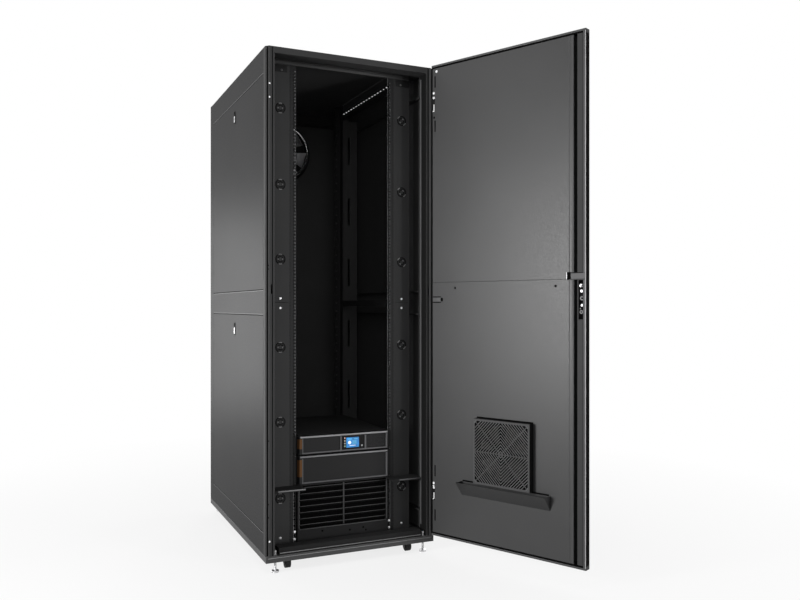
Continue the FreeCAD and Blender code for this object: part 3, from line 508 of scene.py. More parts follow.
@dataclass(frozen=True)
class GuardPlastic(Moulded):
    """The door fan's moulded guard: pale front faces, a duller frame and near-black sides in the gaps, painted shade.
    """

    frame: Triple = grey(0.088, 0.001)
    # painted shade: the near-black colour of the ribs' sides in the gaps
    deep: Triple = grey(0.002, 0.0)
    middle: Pair = (1.1111, 0.503)
    window: float = 0.135
    rib: float = 0.0028

    def tint(self, board: Skin) -> NodeSocket:
        """The colours of the guard's sides with their painted shade, its bars and its frame.

        Args:
            board: The material's board.

        Returns:
            The colour.
        """
        front = board.over(board.along("Normal", DOOR_OPENED + 90.0), 0.9)
        reach = board.along("Object", DOOR_OPENED - 180.0)
        wide = board.size(board.sum("SUBTRACT", reach, self.middle[0]))
        tall = board.size(board.sum("SUBTRACT", board.axis("Object", "Z"), self.middle[1]))
        slant = board.size(board.sum("SUBTRACT", wide, tall))
        rib = board.under(board.sum("MINIMUM", slant, tall), self.rib)
        border = board.either(board.over(board.sum("MAXIMUM", wide, tall), self.window), rib)
        bars = board.mix(border, super().tint(board), shade(self.frame))
        return board.mix(front, shade(self.deep), bars)


@dataclass(frozen=True)
class Plated:
    """Plated or bare metal with a fine drawn streak along one axis."""

    name: str
    colour: Triple = grey(0.66, 0.01)
    roughness: float = 0.3
    metal: float = 1.0
    thread: float = 0.0
    stretch: Triple = (1.0, 1.0, 0.05)

    def build(self) -> Material:
        """Makes the material, with screw turns along Z where thread gives their pitch.

        Returns:
            The material.
        """
        board = Skin(self.name)
        streak = board.noise(900.0, 2.0, self.stretch)
        colour = board.mix(board.spread(streak, 0.0, 1.0), shade(self.colour, 0.82), shade(self.colour))
        rough = board.spread(streak, self.roughness - 0.08, self.roughness + 0.1)
        board.fill(board.shader, {"Base Color": colour, "Roughness": rough, "Metallic": self.metal})
        height, depth = streak, 0.00003
        if self.thread > 0.0:
            turns = {"Vector": board.coords["Object"], "Scale": 0.314 / self.thread}
            height = board.add("ShaderNodeTexWave", turns, bands_direction="Z").outputs[1]
            depth = self.thread / 3
        board.bump(height, depth, board.rounded(0.0004))
        return board.material


@dataclass(frozen=True)
class Foam:
    """Open-cell foam, as in filter mats."""

    name: str
    colour: Triple = grey(0.012, 0.0)
    cell: float = 350.0
    depth: float = 0.0008

    def build(self) -> Material:
        """Makes the material.

        Returns:
            The material.
        """
        board = Skin(self.name)
        cells = board.add("ShaderNodeTexVoronoi", {"Vector": board.coords["Object"], "Scale": self.cell})
        away = cells.outputs["Distance"]
        colour = board.mix(away, shade(self.colour), shade(self.colour, 1.8))
        board.fill(board.shader, {"Base Color": colour, "Roughness": 0.95})
        board.bump(away, self.depth, board.rounded(self.depth))
        return board.material


@dataclass(frozen=True)
class Lit:
    """A lit lamp or screen: a coloured glow under a clear face."""

    name: str
    colour: Triple
    glow: float = 0.6

    def build(self) -> Material:
        """Makes the material.

        Returns:
            The material.
        """
        board = Skin(self.name)
        colour = board.blotch(25.0, 1.0, shade(self.colour, 0.55), shade(self.colour))
        board.fill(board.shader, {"Base Color": colour, "Roughness": 0.18, "Emission Color": colour,
                                  "Emission Strength": self.glow})
        return board.material


class Finishes:
    """Every finish on the cabinet, made once and kept by name."""

    def __init__(self) -> None:
        """Makes the finishes."""
        makers = [
            PowderCoat("coat", shine=0.022),
            WallCoat("wall_coat", grey(0.021), shine=0.022),
            PowderCoat("door_plate", grey(0.052), 0.38, shine=0.3),
            PowderCoat("frame_coat", grey(0.050), 0.55, edge_highlight=2.4, edge=0.0026, shine=0.3),
            PostCoat("post_coat", grey(0.046), 0.62, edge_highlight=2.6, edge=0.0020, shine=0.08),
            GrilleCoat("grille_coat", grey(0.020), 0.6, edge_highlight=2.0, edge=0.0010, shine=0.08),
            # painted highlight: a paler copy of the black coat for pale strips on folds and edges, and the door's stay
            PowderCoat("edge_coat", grey(0.10, 0.002), 0.5, edge_highlight=1.5),
            DoorCoat("door_coat", grey(0.045)),
            # a paler copy of the black coat: painted highlight on the door's rim, sheet folds and slat edges, painted
            # fill light on the rear door's inner sheet; the filler-top screws take it too
            PowderCoat("rim_coat", grey(0.085, 0.001), 0.45, edge_highlight=1.6),
            # a paler copy of the black coat: painted highlight on lips and knock-out bridges; the front lock's rings
            # take it too
            PowderCoat("lip_coat", grey(0.24, 0.002), 0.5, edge_highlight=1.3),
            PowderCoat("panel_coat", grey(0.046), 0.5, shine=0.08),
            # painted highlight along the front door's free edge
            PowderCoat("bare_edge", grey(0.50, 0.005), 0.5, edge_highlight=1.2),
            # painted shade: a darker copy of the black coat for parts in the bay
            PowderCoat("coat_inside", grey(0.018, 0.0002), 0.6, shine=0.08),
            PowderCoat("casting", grey(0.020), 0.46, 1600.0, edge=0.0008),
            PowderCoat("hinge_coat", grey(0.020), 0.5, 1600.0, shine=0.03),
            RailCoat("rail_coat", grey(0.026), 0.5, shine=0.1),
            # painted light: the latch channel takes a paler copy of the black coat
            BandCoat("channel_coat", grey(0.060), 0.6, shine=0.1),
            BezelCoat("battery_bezel", span=(0.376, 0.453), top=(0.4571, 0.4615), crest=grey(0.30, 0.01)),
            BezelCoat("power_bezel", span=(0.502, 0.546), top=(0.5460, 0.5500), screen=(-0.0125, 0.0995)),
            Moulded("plastic", grey(0.022, 0.001), 0.48, shine=0.15),
            GuardPlastic("guard_plastic", grey(0.16, 0.002), shine=0.08),
            Moulded("dark_plastic", grey(0.004, 0.0), 0.6, shine=0.06),
            Moulded("rubber", grey(0.016, 0.0), 0.72, 700.0, 0.0001, shine=0.2),
            # painted light: the door's scoop takes a paler copy of the black coat
            PowderCoat("scoop_coat", grey(0.036)),
            Moulded("key_cap", grey(0.45, 0.01), 0.35, shine=0.2),
            Moulded("shadow", grey(0.0015, 0.0), 0.9, shine=0.05),
            Moulded("nylon", grey(0.80, 0.0), 0.4),
            Plated("zinc"),
            Plated("screw_thread", thread=0.0015),
            Plated("fins", (0.70, 0.71, 0.72), 0.35),
            Plated("bright", grey(0.90, 0.01), 0.4, 0.55),
            Plated("worn_metal", grey(0.62, 0.01), 0.45, 0.4),
            Plated("polished", grey(0.92, 0.01), 0.16),
            Foam("foam"),
            Lit("roof_lamp", (0.90, 0.90, 0.92), 1.0),
            Lit("screen", (0.035, 0.28, 0.72), 0.5),
            Lit("screen_mark", (0.80, 0.92, 1.00), 0.9),
            Lit("screen_field", (0.10, 0.46, 0.80), 0.6),
        ]
        makers += [Lit("lamp_" + lamp.name.lower(), lamp.value, 0.8) for lamp in Lamp]
        self.kept = {maker.name: maker.build() for maker in makers}

    def __getitem__(self, name: str) -> Material:
        """The finish of that name."""
        return self.kept[name]


# Mesh stock


def seat(origin: Iterable[float], facing: Iterable[float], up: Iterable[float] = (0.0, 0.0, 1.0)) -> Matrix:
    """A place on a surface, with local Z out of it and local Y up it.

    Args:
        origin: The point on the surface.
        facing: The surface's outward direction.
        up: The direction that local Y leans to.

    Returns:
        The matrix from local to cabinet space.
    """
    out = Vector(facing).normalized()
    across = Vector(up).cross(out).normalized()
    rise = out.cross(across)
    turn = Matrix((across, rise, out)).transposed().to_4x4()
    return Matrix.Translation(Vector(origin)) @ turn


def rear(x: float, y: float, z: float) -> Matrix:
    """A seat on a face that looks to the rear."""
    return seat((x, y, z), (0, 1, 0))


def level(x: float, y: float, z: float, facing: int = 1) -> Matrix:
    """A seat on a face that looks up, or down where facing is -1."""
    return seat((x, y, z), (0, 0, facing), (0, 1, 0))


def oval(width: float, height: float, steps: int = 8) -> list[Pair]:
    """The outline of a slot with round ends, taller than it is wide.

    Args:
        width: The slot's width.
        height: Its height over both round ends.
        steps: The steps round each end.

    Returns:
        The (x, y) points, counter-clockwise.
    """
    radius = width / 2
    rise = height / 2 - radius
    turns = [math.pi * step / steps for step in range(steps + 1)]
    top = [(radius * math.cos(turn), rise + radius * math.sin(turn)) for turn in turns]
    return top + [(-x, -y) for x, y in top]


def closed(section: list[Pair]) -> list[Pair]:
    """A section that ends where it starts."""
    return section + section[:1]


def block(inner: float, outer: float, low: float, high: float) -> list[Pair]:
    """The closed section of a ring with square corners, between two radii and two heights."""
    return closed([(inner, low), (inner, high), (outer, high), (outer, low)])


class Stock:
    """A growing mesh of one piece, made of simple shop shapes in local places."""

    def __init__(self, name: str, material: Material, slot: Slot, body: str, smooth: float) -> None:
        """Starts an empty mesh.

        Args:
            name: The piece's name.
            material: Its finish.
            slot: The record's material slot; kept but not used.
            body: The body that it moves with.
            smooth: The angle under which neighbouring faces shade as one.
        """
        self.name = name
        self.material = material
        self.slot = slot
        self.body = body
        self.smooth = smooth
        self.mesh = bmesh.new()

    def points(self, place: Matrix, outline: list[Pair], height: float) -> list[bmesh.types.BMVert]:
        """The corners of an outline at a height over a place."""
        return [self.mesh.verts.new(place @ Vector((x, y, height))) for x, y in outline]

    def slab(self, place: Matrix, width: float, height: float, thick: float, bevel: float = 0.0,
             sink: float = 0.0) -> None:
        """A block standing on a place, with its outer edges eased.

        Args:
            place: The seat of its middle.
            width: Its size along local X.
            height: Its size along local Y.
            thick: How far it stands out.
            bevel: The eased edge's size.
            sink: How far it reaches below the surface.
        """
        size = Matrix.Diagonal((width, height, thick + sink, 1.0))
        lift = Matrix.Translation((0.0, 0.0, (thick - sink) / 2))
        corners = bmesh.ops.create_cube(self.mesh, size=1.0, matrix=lift @ size)["verts"]
        if bevel > 0.0:
            edges = dict.fromkeys(edge for corner in corners for edge in corner.link_edges)
            eased = bmesh.ops.bevel(self.mesh, geom=list(edges), offset=bevel, segments=2, profile=0.5,
                                    affect="EDGES")
            corners = list(dict.fromkeys(eased["verts"] + [corner for corner in corners if corner.is_valid]))
        bmesh.ops.transform(self.mesh, matrix=place, verts=corners)

    def turned(self, place: Matrix, profile: list[Pair], sides: int = 24, first: float = 0.0,
               last: float = 360.0) -> None:
        """A turned form about local Z.

        Args:
            place: The seat of its axis.
            profile: The (radius, height) points of its half section.
            sides: Steps round the axis.
            first: The angle where it starts.
            last: The angle where it ends.
        """
        whole = abs(last - first) >= 360.0
        rings = []
        for step in range(sides if whole else sides + 1):
            angle = math.radians(first + (last - first) * step / sides)
            across, along = math.cos(angle), math.sin(angle)
            rings.append([self.mesh.verts.new(place @ Vector((radius * across, radius * along, height)))
                          for radius, height in profile])
        for here, there in zip(rings, rings[1:] + rings[:1] if whole else rings[1:]):
            for index in range(len(profile) - 1):
                self.mesh.faces.new((here[index], there[index], there[index + 1], here[index + 1]))
        if not whole:
            self.mesh.faces.new(rings[0])
            self.mesh.faces.new(list(reversed(rings[-1])))

    def wrap(self, here: list[bmesh.types.BMVert], there: list[bmesh.types.BMVert]) -> None:
        """The faces between two loops of corners.

        Args:
            here: The first loop.
            there: The second loop, of as many corners.
        """
        for index in range(len(here)):
            after = (index + 1) % len(here)
            self.mesh.faces.new((here[index], here[after], there[after], there[index]))

    def solid(self, place: Matrix, outline: list[Pair], thick: float) -> None:
        """A flat outline drawn out from a place.

        Args:
            place: The seat of the outline.
            outline: Its (x, y) points, counter-clockwise.
            thick: How far it stands out.
        """
        low, high = self.points(place, outline, 0.0), self.points(place, outline, thick)
        self.mesh.faces.new(list(reversed(low)))
        self.mesh.faces.new(high)
        self.wrap(low, high)

    def rim(self, place: Matrix, outer: list[Pair], inner: list[Pair], thick: float) -> None:
        """A raised rim between two outlines.

        Args:
            place: The seat of the outlines.
            outer: The outer outline.
            inner: The inner outline, of as many points.
            thick: How far the rim stands out.
        """
        loops = [self.points(place, outline, height)
                 for outline, height in ((outer, 0.0), (outer, thick), (inner, thick), (inner, 0.0))]
        for here, there in zip(loops, loops[1:] + loops[:1]):
            self.wrap(here, there)

    def screw(self, place: Matrix, radius: float, rise: float = 0.62) -> None:
        """A pan-head screw with a washer and a socket.

        Args:
            place: Its seat.
            radius: The head's radius.
            rise: The head's height as a share of its radius.
        """
        socket = 0.42
        shares = ((socket * 0.05, 0.29), (socket, 0.32), (socket, 1.0), (0.72, 0.94), (0.95, 0.58), (1.0, 0.26),
                  (1.3, 0.22), (1.34, 0.0))
        self.turned(place, [(radius * across, radius * rise * up) for across, up in shares], sides=14)

    def fit(self) -> None:
        """Makes the piece, dresses it and lets it ride."""
        bmesh.ops.remove_doubles(self.mesh, verts=self.mesh.verts, dist=1e-7)
        bmesh.ops.recalc_face_normals(self.mesh, faces=self.mesh.faces)
        data = bpy.data.meshes.new(self.name)
        self.mesh.to_mesh(data)
        self.mesh.free()
        for face in data.polygons:
            face.use_smooth = True
        data.set_sharp_from_angle(angle=math.radians(self.smooth))
        data.materials.append(self.material)
        piece = bpy.data.objects.new(self.name, data)
        bpy.context.scene.collection.objects.link(piece)
        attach(piece, self.body)
        log.info("piece %s on %s", self.name, self.body)


def fit(*stocks: Stock) -> None:
    """Makes several pieces, in order."""
    for stock in stocks:
        stock.fit()


@dataclass
class Trim:
    """A group of small pieces that dress one body."""

    finishes: Finishes
    body: str = "cabinet"

    def place(self, x: float, y: float, z: float) -> Matrix:
        """A seat on a face that looks forward."""
        return seat((x, y, z), (0, -1, 0))

    def stock(self, name: str, finish: str, slot: Slot, body: str = "", smooth: float = 35.0) -> Stock:
        """Starts a piece's mesh.

        Args:
            name: The piece's name.
            finish: Its finish, by name.
            slot: The record's material slot.
            body: The body that it moves with, where that isn't the group's own.
            smooth: The angle under which neighbouring faces shade as one.

        Returns:
            The empty mesh.
        """
        return Stock(name, self.finishes[finish], slot, body or self.body, smooth)

    def bars(self, name: str, finish: str, slot: Slot, rows: Rows, thick: float, ease: float = 0.0) -> None:
        """Makes a piece of flat bars.

        Args:
            name: The piece's name.
            finish: Its finish, by name.
            slot: The record's material slot.
            rows: The place of each bar, then its width and height.
            thick: How far the bars stand out.
            ease: The size of their eased edges.
        """
        stock = self.stock(name, finish, slot)
        for *where, width, height in rows:
            stock.slab(self.place(*where), width, height, thick=thick, bevel=ease)
        stock.fit()

    def screws(self, name: str, finish: str, slot: Slot, rows: Rows, radius: float, rise: float = 0.62) -> None:
        """Makes a piece of screw heads.

        Args:
            name: The piece's name.
            finish: Its finish, by name.
            slot: The record's material slot.
            rows: The place of each screw.
            radius: The heads' radius.
            rise: Their height as a share of their radius.
        """
        stock = self.stock(name, finish, slot)
        for where in rows:
            stock.screw(self.place(*where), radius=radius, rise=rise)
        stock.fit()


# Cabinet


@dataclass
class SheetWork:
    """The finishes on the solids that come with the frame."""

    finishes: Finishes

    def build(self) -> None:
        """Gives each solid its finish."""
        for finish, names in self.plan().items():
            for name in names.split():
                node = frame["nodes"][name]
                node.data.materials.clear()
                node.data.materials.append(self.finishes[finish])
                log.info("solid %s in %s", name, finish)

    def plan(self) -> dict[str, str]:
        """The finishes and the names of the solids that take them.

        Returns:
            The solids' names, with spaces between them, by finish.
        """
        feet = " ".join("levelling_foot_" + corner for corner in CORNERS)
        wheels = " ".join("caster_wheel_" + corner for corner in CORNERS)
        panels = " ".join(f"side_panel_{side.name.lower()}_{half}" for side in Side for half in ("lower", "upper"))
        return {
            "frame_coat": "base_plate base_skirts cable_panels",
            "coat_inside": "baffle_shelves sills cooling_chassis battery_chassis power_chassis "
                           "blower_housing compressor",
            "panel_coat": "headers filler_panels",
            "post_coat": "front_posts",
            "wall_coat": "rear_posts side_bands roof_panel " + panels,
            "door_coat": "front_door_shell",
            "door_plate": "front_door_inner_plates",
            "scoop_coat": "door_scoop",
            "channel_coat": "front_latch_channel",
            "coat": "rear_door_shell exhaust_ring",
            # painted fill light: the rear door's inner sheet takes the paler rim coat
            "rim_coat": "rear_door_plate",
            "grille_coat": "cooling_grille",
            "rail_coat": "rack_rails depth_braces",
            "battery_bezel": "battery_bezel",
            "power_bezel": "power_bezel",
            "guard_plastic": "door_fan_guard",
            # part painted shade: the fan's box and rotor take near-black plastic, darker than their own black, so the
            # guard's gaps read dark
            "dark_plastic": "door_fan_box door_fan_rotor front_lock front_handle_spindle",
            "worn_metal": "exhaust_rotor",
            "plastic": "blower_wheel",
            "casting": "rear_lock rear_handle_spindle front_handle_lever rear_handle_lever "
                       "caster_forks_rear caster_fork_front_left caster_fork_front_right",
            "hinge_coat": "hinge_pins front_door_hinges rear_door_hinges",
            "screw_thread": feet,
            "rubber": wheels,
            "fins": "cooling_coils",
            "screen": "power_display",
            "key_cap": "power_key",
        }


@dataclass
class BayFronts(Trim):
    """The knock-outs, screws and top plates of the blanking panels, and the bolts of the rack rails."""

    column: float = 0.298
    middle: float = 1.157
    rises: Triple = (0.197, 0.531, 0.872)
    outer: float = 0.022
    inner: float = 0.011
    groove: Triple = (0.0020, 0.0016, 0.0003)
    cut: Pair = (24.0, 156.0)
    weld: Triple = (0.0018, 0.0010, 0.0011)
    bridge: float = 20.0
    dome: Triple = (0.0024, 0.0036, 0.0012)
    head: float = 0.0040
    screw_heights: Triple = (1.1785, 1.1355, 0.109)
    bolt_column: float = 0.2325
    bolt_heights: Pair = (0.0952, 0.1278)
    bolt_head: float = 0.0046
    plate: Four = (0.3025, 2.20625, 0.071, 0.0325)
    plate_thick: float = 0.0016
    plate_screw: Pair = (0.2925, 2.1995)

    def build(self) -> None:
        """Makes the knock-outs, screws and plates on both sides."""
        # painted highlight on the bridges and painted shade in the grooves
        pale = self.stock("knockout_bridges", "lip_coat", Slot.COAT)
        cuts = self.stock("knockout_cuts", "shadow", Slot.COAT)
        domes = self.stock("knockout_domes", "coat", Slot.COAT)
        heads = self.stock("panel_screws", "bright", Slot.ZINC)
        for side in Side:
            x = side.value * self.column
            for rise in self.rises:
                for height in (self.middle - rise, self.middle + rise):
                    place = self.place(x, RAIL_FACE, height)
                    self.knockout(pale, cuts, domes, place, 90.0 if side is Side.LEFT else 135.0)
            for height in self.screw_heights:
                heads.screw(self.place(x, RAIL_FACE, height), radius=self.head)
            for height in self.bolt_heights:
                heads.screw(self.place(side.value * self.bolt_column, RAIL_FACE, height), radius=self.bolt_head)
        fit(pale, cuts, domes, heads)
        x, height = self.plate_screw
        places = [(side.value * x, RAIL_FACE - self.plate_thick, height) for side in Side]
        self.screws("filler_top_screws", "rim_coat", Slot.ZINC, places, self.head)
        x, *size = self.plate
        plates = [(side.value * x, RAIL_FACE, *size) for side in Side]
        self.bars("panel_top_plates", "coat_inside", Slot.COAT, plates, self.plate_thick, ease=0.0005)

    def knockout(self, pale: Stock, cuts: Stock, domes: Stock, place: Matrix, turn: float) -> None:
        """A stamped knock-out: part-cut rings that two pairs of bridges hold, round a raised disc; the grooves are
        near black as painted shade and the bridges pale as painted highlight.

        Args:
            pale: The bridges' mesh, painted highlight.
            cuts: The grooves' mesh, painted shade.
            domes: The discs' mesh.
            place: The knock-out's seat.
            turn: The angle of the outer ring's first bridge.
        """
        within, beyond, depth = self.groove
        begin, end = self.cut
        foot, crown, rise = self.weld
        for radius, first in ((self.outer, turn), (self.inner, turn + 90.0)):
            groove = block(radius - within, radius + beyond, 0.0, depth)
            weld = [(radius - foot, 0.0), (radius - crown, rise), (radius + crown, rise), (radius + foot, 0.0)]
            for bridge in (first, first + 180.0):
                cuts.turned(place, groove, sides=20, first=bridge + begin, last=bridge + end)
                pale.turned(place, weld, sides=8, first=bridge - self.bridge, last=bridge + self.bridge)
        foot, crown, rise = self.dome
        domes.turned(place, [(self.inner + foot, 0.0), (self.inner + crown, rise), (self.outer - crown, rise),
                             (self.outer - foot, 0.0)], sides=32)


@dataclass
class RailLips(Trim):
    """Pale lips on the square holes of the front rails, painted highlight where the holes' walls catch light, and the
    near-black pilot holes beside them, painted shade.
    """

    first: float = 0.07935
    unit: float = 0.04445
    step: float = 0.015875
    units: int = 48
    covered: int = 6
    clear: float = 0.326
    pilot: Triple = (0.2535, 0.0026, 0.0030)
    strip: Pair = (0.2373, 0.0016)
    edges: tuple[Pair, ...] = ((-0.2278, 0.0042), (0.2373, 0.0014))
    tall: float = 0.0062
    back: float = 0.0014

    def build(self) -> None:
        """Makes one mesh of all pilot holes and one of the lips."""
        # painted shade: near-black marks in the pilot holes
        column, *size = self.pilot
        pilots = [(side.value * column, RAIL_FACE, self.first + index * self.unit / 3, *size)
                  for side in Side for index in range(self.units * 3)]
        self.bars("rail_pilot_holes", "shadow", Slot.COAT, pilots, thick=0.0002)
        # painted highlight: pale lips on the square holes' walls
        lips = self.stock("rail_hole_lips", "lip_coat", Slot.ZINC)
        edge, width = self.strip
        for side in Side:
            place = self.place(side.value * edge, RAIL_FACE, (self.first + self.clear) / 2)
            lips.slab(place, width, self.clear - self.first, thick=0.0004)
        for edge, width in self.edges:
            for index in range(self.covered * 3, self.units * 3):
                height = self.first + index // 3 * self.unit + index % 3 * self.step
                place = self.place(edge - width / 2, RAIL_FACE + self.back, height)
                lips.slab(place, width, self.tall, thick=0.0008, bevel=0.0002)
        lips.fit()


@dataclass
class FrameTrim(Trim):
    """The top angle between the rails, the posts' near-black strips and holes of painted shade and pale strips of
    painted highlight, and the pale lips of sill and baffles, painted highlight.
    """

    chamfer: float = 0.014
    angle: Triple = (2.2235, 2.2525, 0.672)
    low: float = 0.076
    groove_shade_column: float = 0.3720
    groove_shade_share: float = 0.56
    right_fold: float = 0.3825
    inner_fold: float = -0.543
    hole_column: float = 0.3843
    hole_share: float = 0.80
    plugged: Triple = (2.0957, 2.0369, 0.1386)
    spare: tuple[float, ...] = (1.318, 1.302, 0.568, 0.297, 0.241)
    lips: Rows = ((0.0, -0.594, 0.0815, 0.676, 0.0030), (0.0, -0.600, 0.0655, 0.780, 0.0030),
                  (-0.2696, -0.548, 0.3345, 0.124, 0.0062))
    right_lip: Rows = ((0.305, -0.548, 0.3345, 0.112, 0.0062),)

    def build(self) -> None:
        """Makes the frame's trim."""
        self.top_angle()
        self.post_strips()
        plugged = [(-self.hole_column, FRONT_FACE, height) for height in self.plugged]
        self.screws("post_screws", "bright", Slot.ZINC, plugged, radius=0.0028, rise=0.3)
        # painted shade: near-black rings in the spare holes
        holes = self.stock("post_holes", "shadow", Slot.COAT)
        for height in self.spare:
            place = self.on_chamfer(Side.LEFT, self.hole_share, height)
            holes.turned(place, block(0.0004, 0.0032, 0.0, 0.0010), sides=14)
        holes.fit()
        # painted highlight: pale lips on the sill and baffle fronts
        self.bars("frame_lips", "lip_coat", Slot.COAT, self.lips, *FOLD)
        self.bars("right_baffle_lip", "edge_coat", Slot.COAT, self.right_lip, *FOLD)

    def top_angle(self) -> None:
        """A folded angle across the tops of the rails and blanking panels."""
        stock = self.stock("top_angle", "frame_coat", Slot.COAT)
        low, high, width = self.angle
        for top, reach in ((high, 0.0018), (low + 0.002, 0.010)):
            stock.slab(self.place(0.0, RAIL_FACE, (low + top) / 2), width, top - low, thick=reach, bevel=0.0006)
        stock.fit()

    def on_chamfer(self, side: Side, share: float, height: float) -> Matrix:
        """A seat on a post's slanted corner, at a share of the way from its side to its front."""
        x = side.value * (HALF_WIDTH - share * self.chamfer)
        return seat((x, FRONT_FACE + (1.0 - share) * self.chamfer, height), (side.value, -1, 0))

    def post_strips(self) -> None:
        """Near-black strips along the posts' fronts and corners as painted shade in their grooves, and pale folds
        along their edges as painted highlight.
        """
        strips = self.stock("post_seals", "shadow", Slot.PLASTIC)
        folds = self.stock("post_folds", "edge_coat", Slot.COAT)
        middle = (self.low + ROOF_UNDER) / 2
        tall = ROOF_UNDER - self.low
        for side in Side:
            strips.slab(self.place(side.value * self.groove_shade_column, FRONT_FACE, middle), 0.0036, tall, thick=0.0003)
            strips.slab(self.on_chamfer(side, self.groove_shade_share, middle), 0.0074, tall, *FOLD)
            if side is Side.RIGHT:
                folds.slab(self.place(self.right_fold, FRONT_FACE, middle), 0.0060, tall, *FOLD)
            inner = seat((side.value * POST_INNER, self.inner_fold, middle), (-side.value, 0, 0))
            folds.slab(inner, 0.012, tall - 0.08, *FOLD)
        fit(strips, folds)


@dataclass
class CoolingFront(Trim):
    """A near-black sheet of painted shade behind the cooling unit's slats, pale strips of painted highlight on the
    slats' and panel's edges, and the marks of the lower panel.
    """

    face: float = -0.475
    mat: Triple = (0.0, -0.4665, 0.236)
    marks: tuple[Pair, ...] = ((0.030, 0.110), (0.097, 0.115), (0.110, 0.101), (-0.104, 0.121))
    sill: Four = (0.0, 0.1375, 0.424, 0.003)
    uprights: Triple = (-0.2148, 0.0, 0.2148)
    upright: Triple = (0.238, 0.0034, 0.190)
    field: Pair = (0.139, 0.3337)
    slats: int = 7
    rise: float = 0.0055
    slat: Triple = (0.10685, 0.2067, 0.0026)

    def build(self) -> None:
        """Makes the shade sheet, the marks and the pale edges."""
        # painted shade: a near-black sheet where the grille's inside lies in shade
        mat = self.stock("cooling_filter_mat", "shadow", Slot.PLASTIC)
        mat.slab(self.place(*self.mat), 0.414, 0.196, thick=0.0004, bevel=0.0001, sink=0.004)
        mat.fit()
        marks = [(x, self.face, height) for x, height in self.marks]
        self.screws("cooling_panel_screws", "shadow", Slot.PLASTIC, marks, radius=0.0034)
        x, *size = self.sill
        borders = [(x, self.face, *size)] + [(x, self.face, *self.upright) for x in self.uprights]
        self.bars("cooling_panel_edges", "edge_coat", Slot.COAT, borders, *HAIR)
        low, high = self.field
        pitch = (high - low) / self.slats
        x, *size = self.slat
        slats = [(side.value * x, self.face, low + (index + 0.5) * pitch + self.rise, *size)
                 for index in range(self.slats) for side in Side]
        self.bars("cooling_slat_edges", "rim_coat", Slot.COAT, slats, thick=0.0005, ease=0.0002)


@dataclass
class RoofLights(Trim):
    """The strip of small lamps under the roof's right side, and the plugs in the roof's rear corners."""

    column: float = 0.322
    ends: Pair = (-0.232, 0.376)
    count: int = 17
    bar: Pair = (0.014, 0.002)
    longer: float = 0.03
    radius: float = 0.0030
    drop: float = 0.0034
    corner: Triple = (0.3705, 0.442, 2.2524)
    plug: Four = (0.024, 0.040, 0.005, 0.0008)

    def build(self) -> None:
        """Makes the bar, its lamps and the plugs."""
        first, last = self.ends
        width, thick = self.bar
        bar = self.stock("roof_light_bar", "dark_plastic", Slot.PLASTIC)
        place = level(self.column, (first + last) / 2, ROOF_UNDER, -1)
        bar.slab(place, width, last - first + self.longer, thick=thick, bevel=0.0004)
        lamps = self.stock("roof_light_lamps", "roof_lamp", Slot.SCREEN)
        dome = [(self.radius, 0.0), (self.radius, self.drop * 0.6), (self.radius * 0.7, self.drop),
                (self.radius * 0.1, self.drop)]
        for index in range(self.count):
            depth = first + (last - first) * index / (self.count - 1)
            lamps.turned(level(self.column, depth, ROOF_UNDER - thick, -1), dome, sides=12)
        plugs = self.stock("roof_corner_plugs", "rubber", Slot.PLASTIC)
        x, y, z = self.corner
        for side in Side:
            plugs.slab(level(side.value * x, y, z), *self.plug)
        fit(bar, lamps, plugs)


@dataclass
class SeamLines(Trim):
    """Near-black strips of painted shade in the grooves between the side panels and their bands, with pale strips of
    painted highlight along their edges.
    """

    face: float = HALF_WIDTH - 0.0008
    middle: float = -0.034
    depth: float = 1.044
    grooves: Four = (0.169, 1.105, 1.215, 2.145)
    folds: Four = (0.1665, 2.1475, 1.1085, 1.2115)

    def build(self) -> None:
        """Makes one line in each seam."""
        self.lines("side_seams", "shadow", self.grooves, 0.0040, 0.0009)
        self.lines("side_folds", "edge_coat", self.folds, 0.0024, 0.0010)

    def lines(self, name: str, finish: str, heights: Four, wide: float, thick: float) -> None:
        """A piece with a line at each height, on both sides.

        Args:
            name: The piece's name.
            finish: Its finish, by name.
            heights: The heights of its lines.
            wide: How wide a line is.
            thick: How far a line stands out.
        """
        stock = self.stock(name, finish, Slot.COAT)
        for side in Side:
            for height in heights:
                place = seat((side.value * self.face, self.middle, height), (side.value, 0, 0))
                stock.slab(place, self.depth, wide, thick=thick)
        stock.fit()


@dataclass
class SideLocks(Trim):
    """The oval key locks of the side panels."""

    depth: float = -0.02
    heights: tuple[tuple[str, float], ...] = (("upper", 2.072), ("lower", 1.033))
    cup: Triple = (0.024, 0.062, 0.0012)
    rim: Pair = (0.003, 0.002)
    plug: Triple = (0.013, 0.032, 0.0018)
    plug_drop: float = 0.009
    keyhole: Triple = (0.0022, 0.010, 0.0002)

    def build(self) -> None:
        """Makes a lock for each panel."""
        for side in Side:
            for half, height in self.heights:
                place = seat((side.value * HALF_WIDTH, self.depth, height), (side.value, 0, 0))
                self.lock(f"side_panel_{side.name.lower()}_{half}", place)

    def lock(self, body: str, place: Matrix) -> None:
        """A near-black oval cup, painted shade in the recess, in a raised rim, with a bright key plug in its lower
        half.

        Args:
            body: The panel's body, which also starts the pieces' names.
            place: The lock's seat.
        """
        wide, tall, deep = self.cup
        border, proud = self.rim
        cup = self.stock(body + "_lock_cup", "shadow", Slot.COAT, body)
        cup.solid(place, oval(wide, tall), deep)
        rim = self.stock(body + "_lock_rim", "casting", Slot.METAL, body)
        rim.rim(place, oval(wide + border, tall + border), oval(wide, tall), proud)
        plug = self.stock(body + "_lock_plug", "bright", Slot.ZINC, body)
        low = place @ Matrix.Translation((0.0, -self.plug_drop, deep))
        plug.solid(low, oval(*self.plug[:2]), self.plug[2])
        # painted shade: the keyhole's near-black mark
        key = self.stock(body + "_lock_keyhole", "shadow", Slot.ZINC, body)
        key.solid(low @ Matrix.Translation((0.0, 0.0, self.plug[2])), oval(*self.keyhole[:2]), self.keyhole[2])
        fit(cup, rim, plug, key)


# Doors


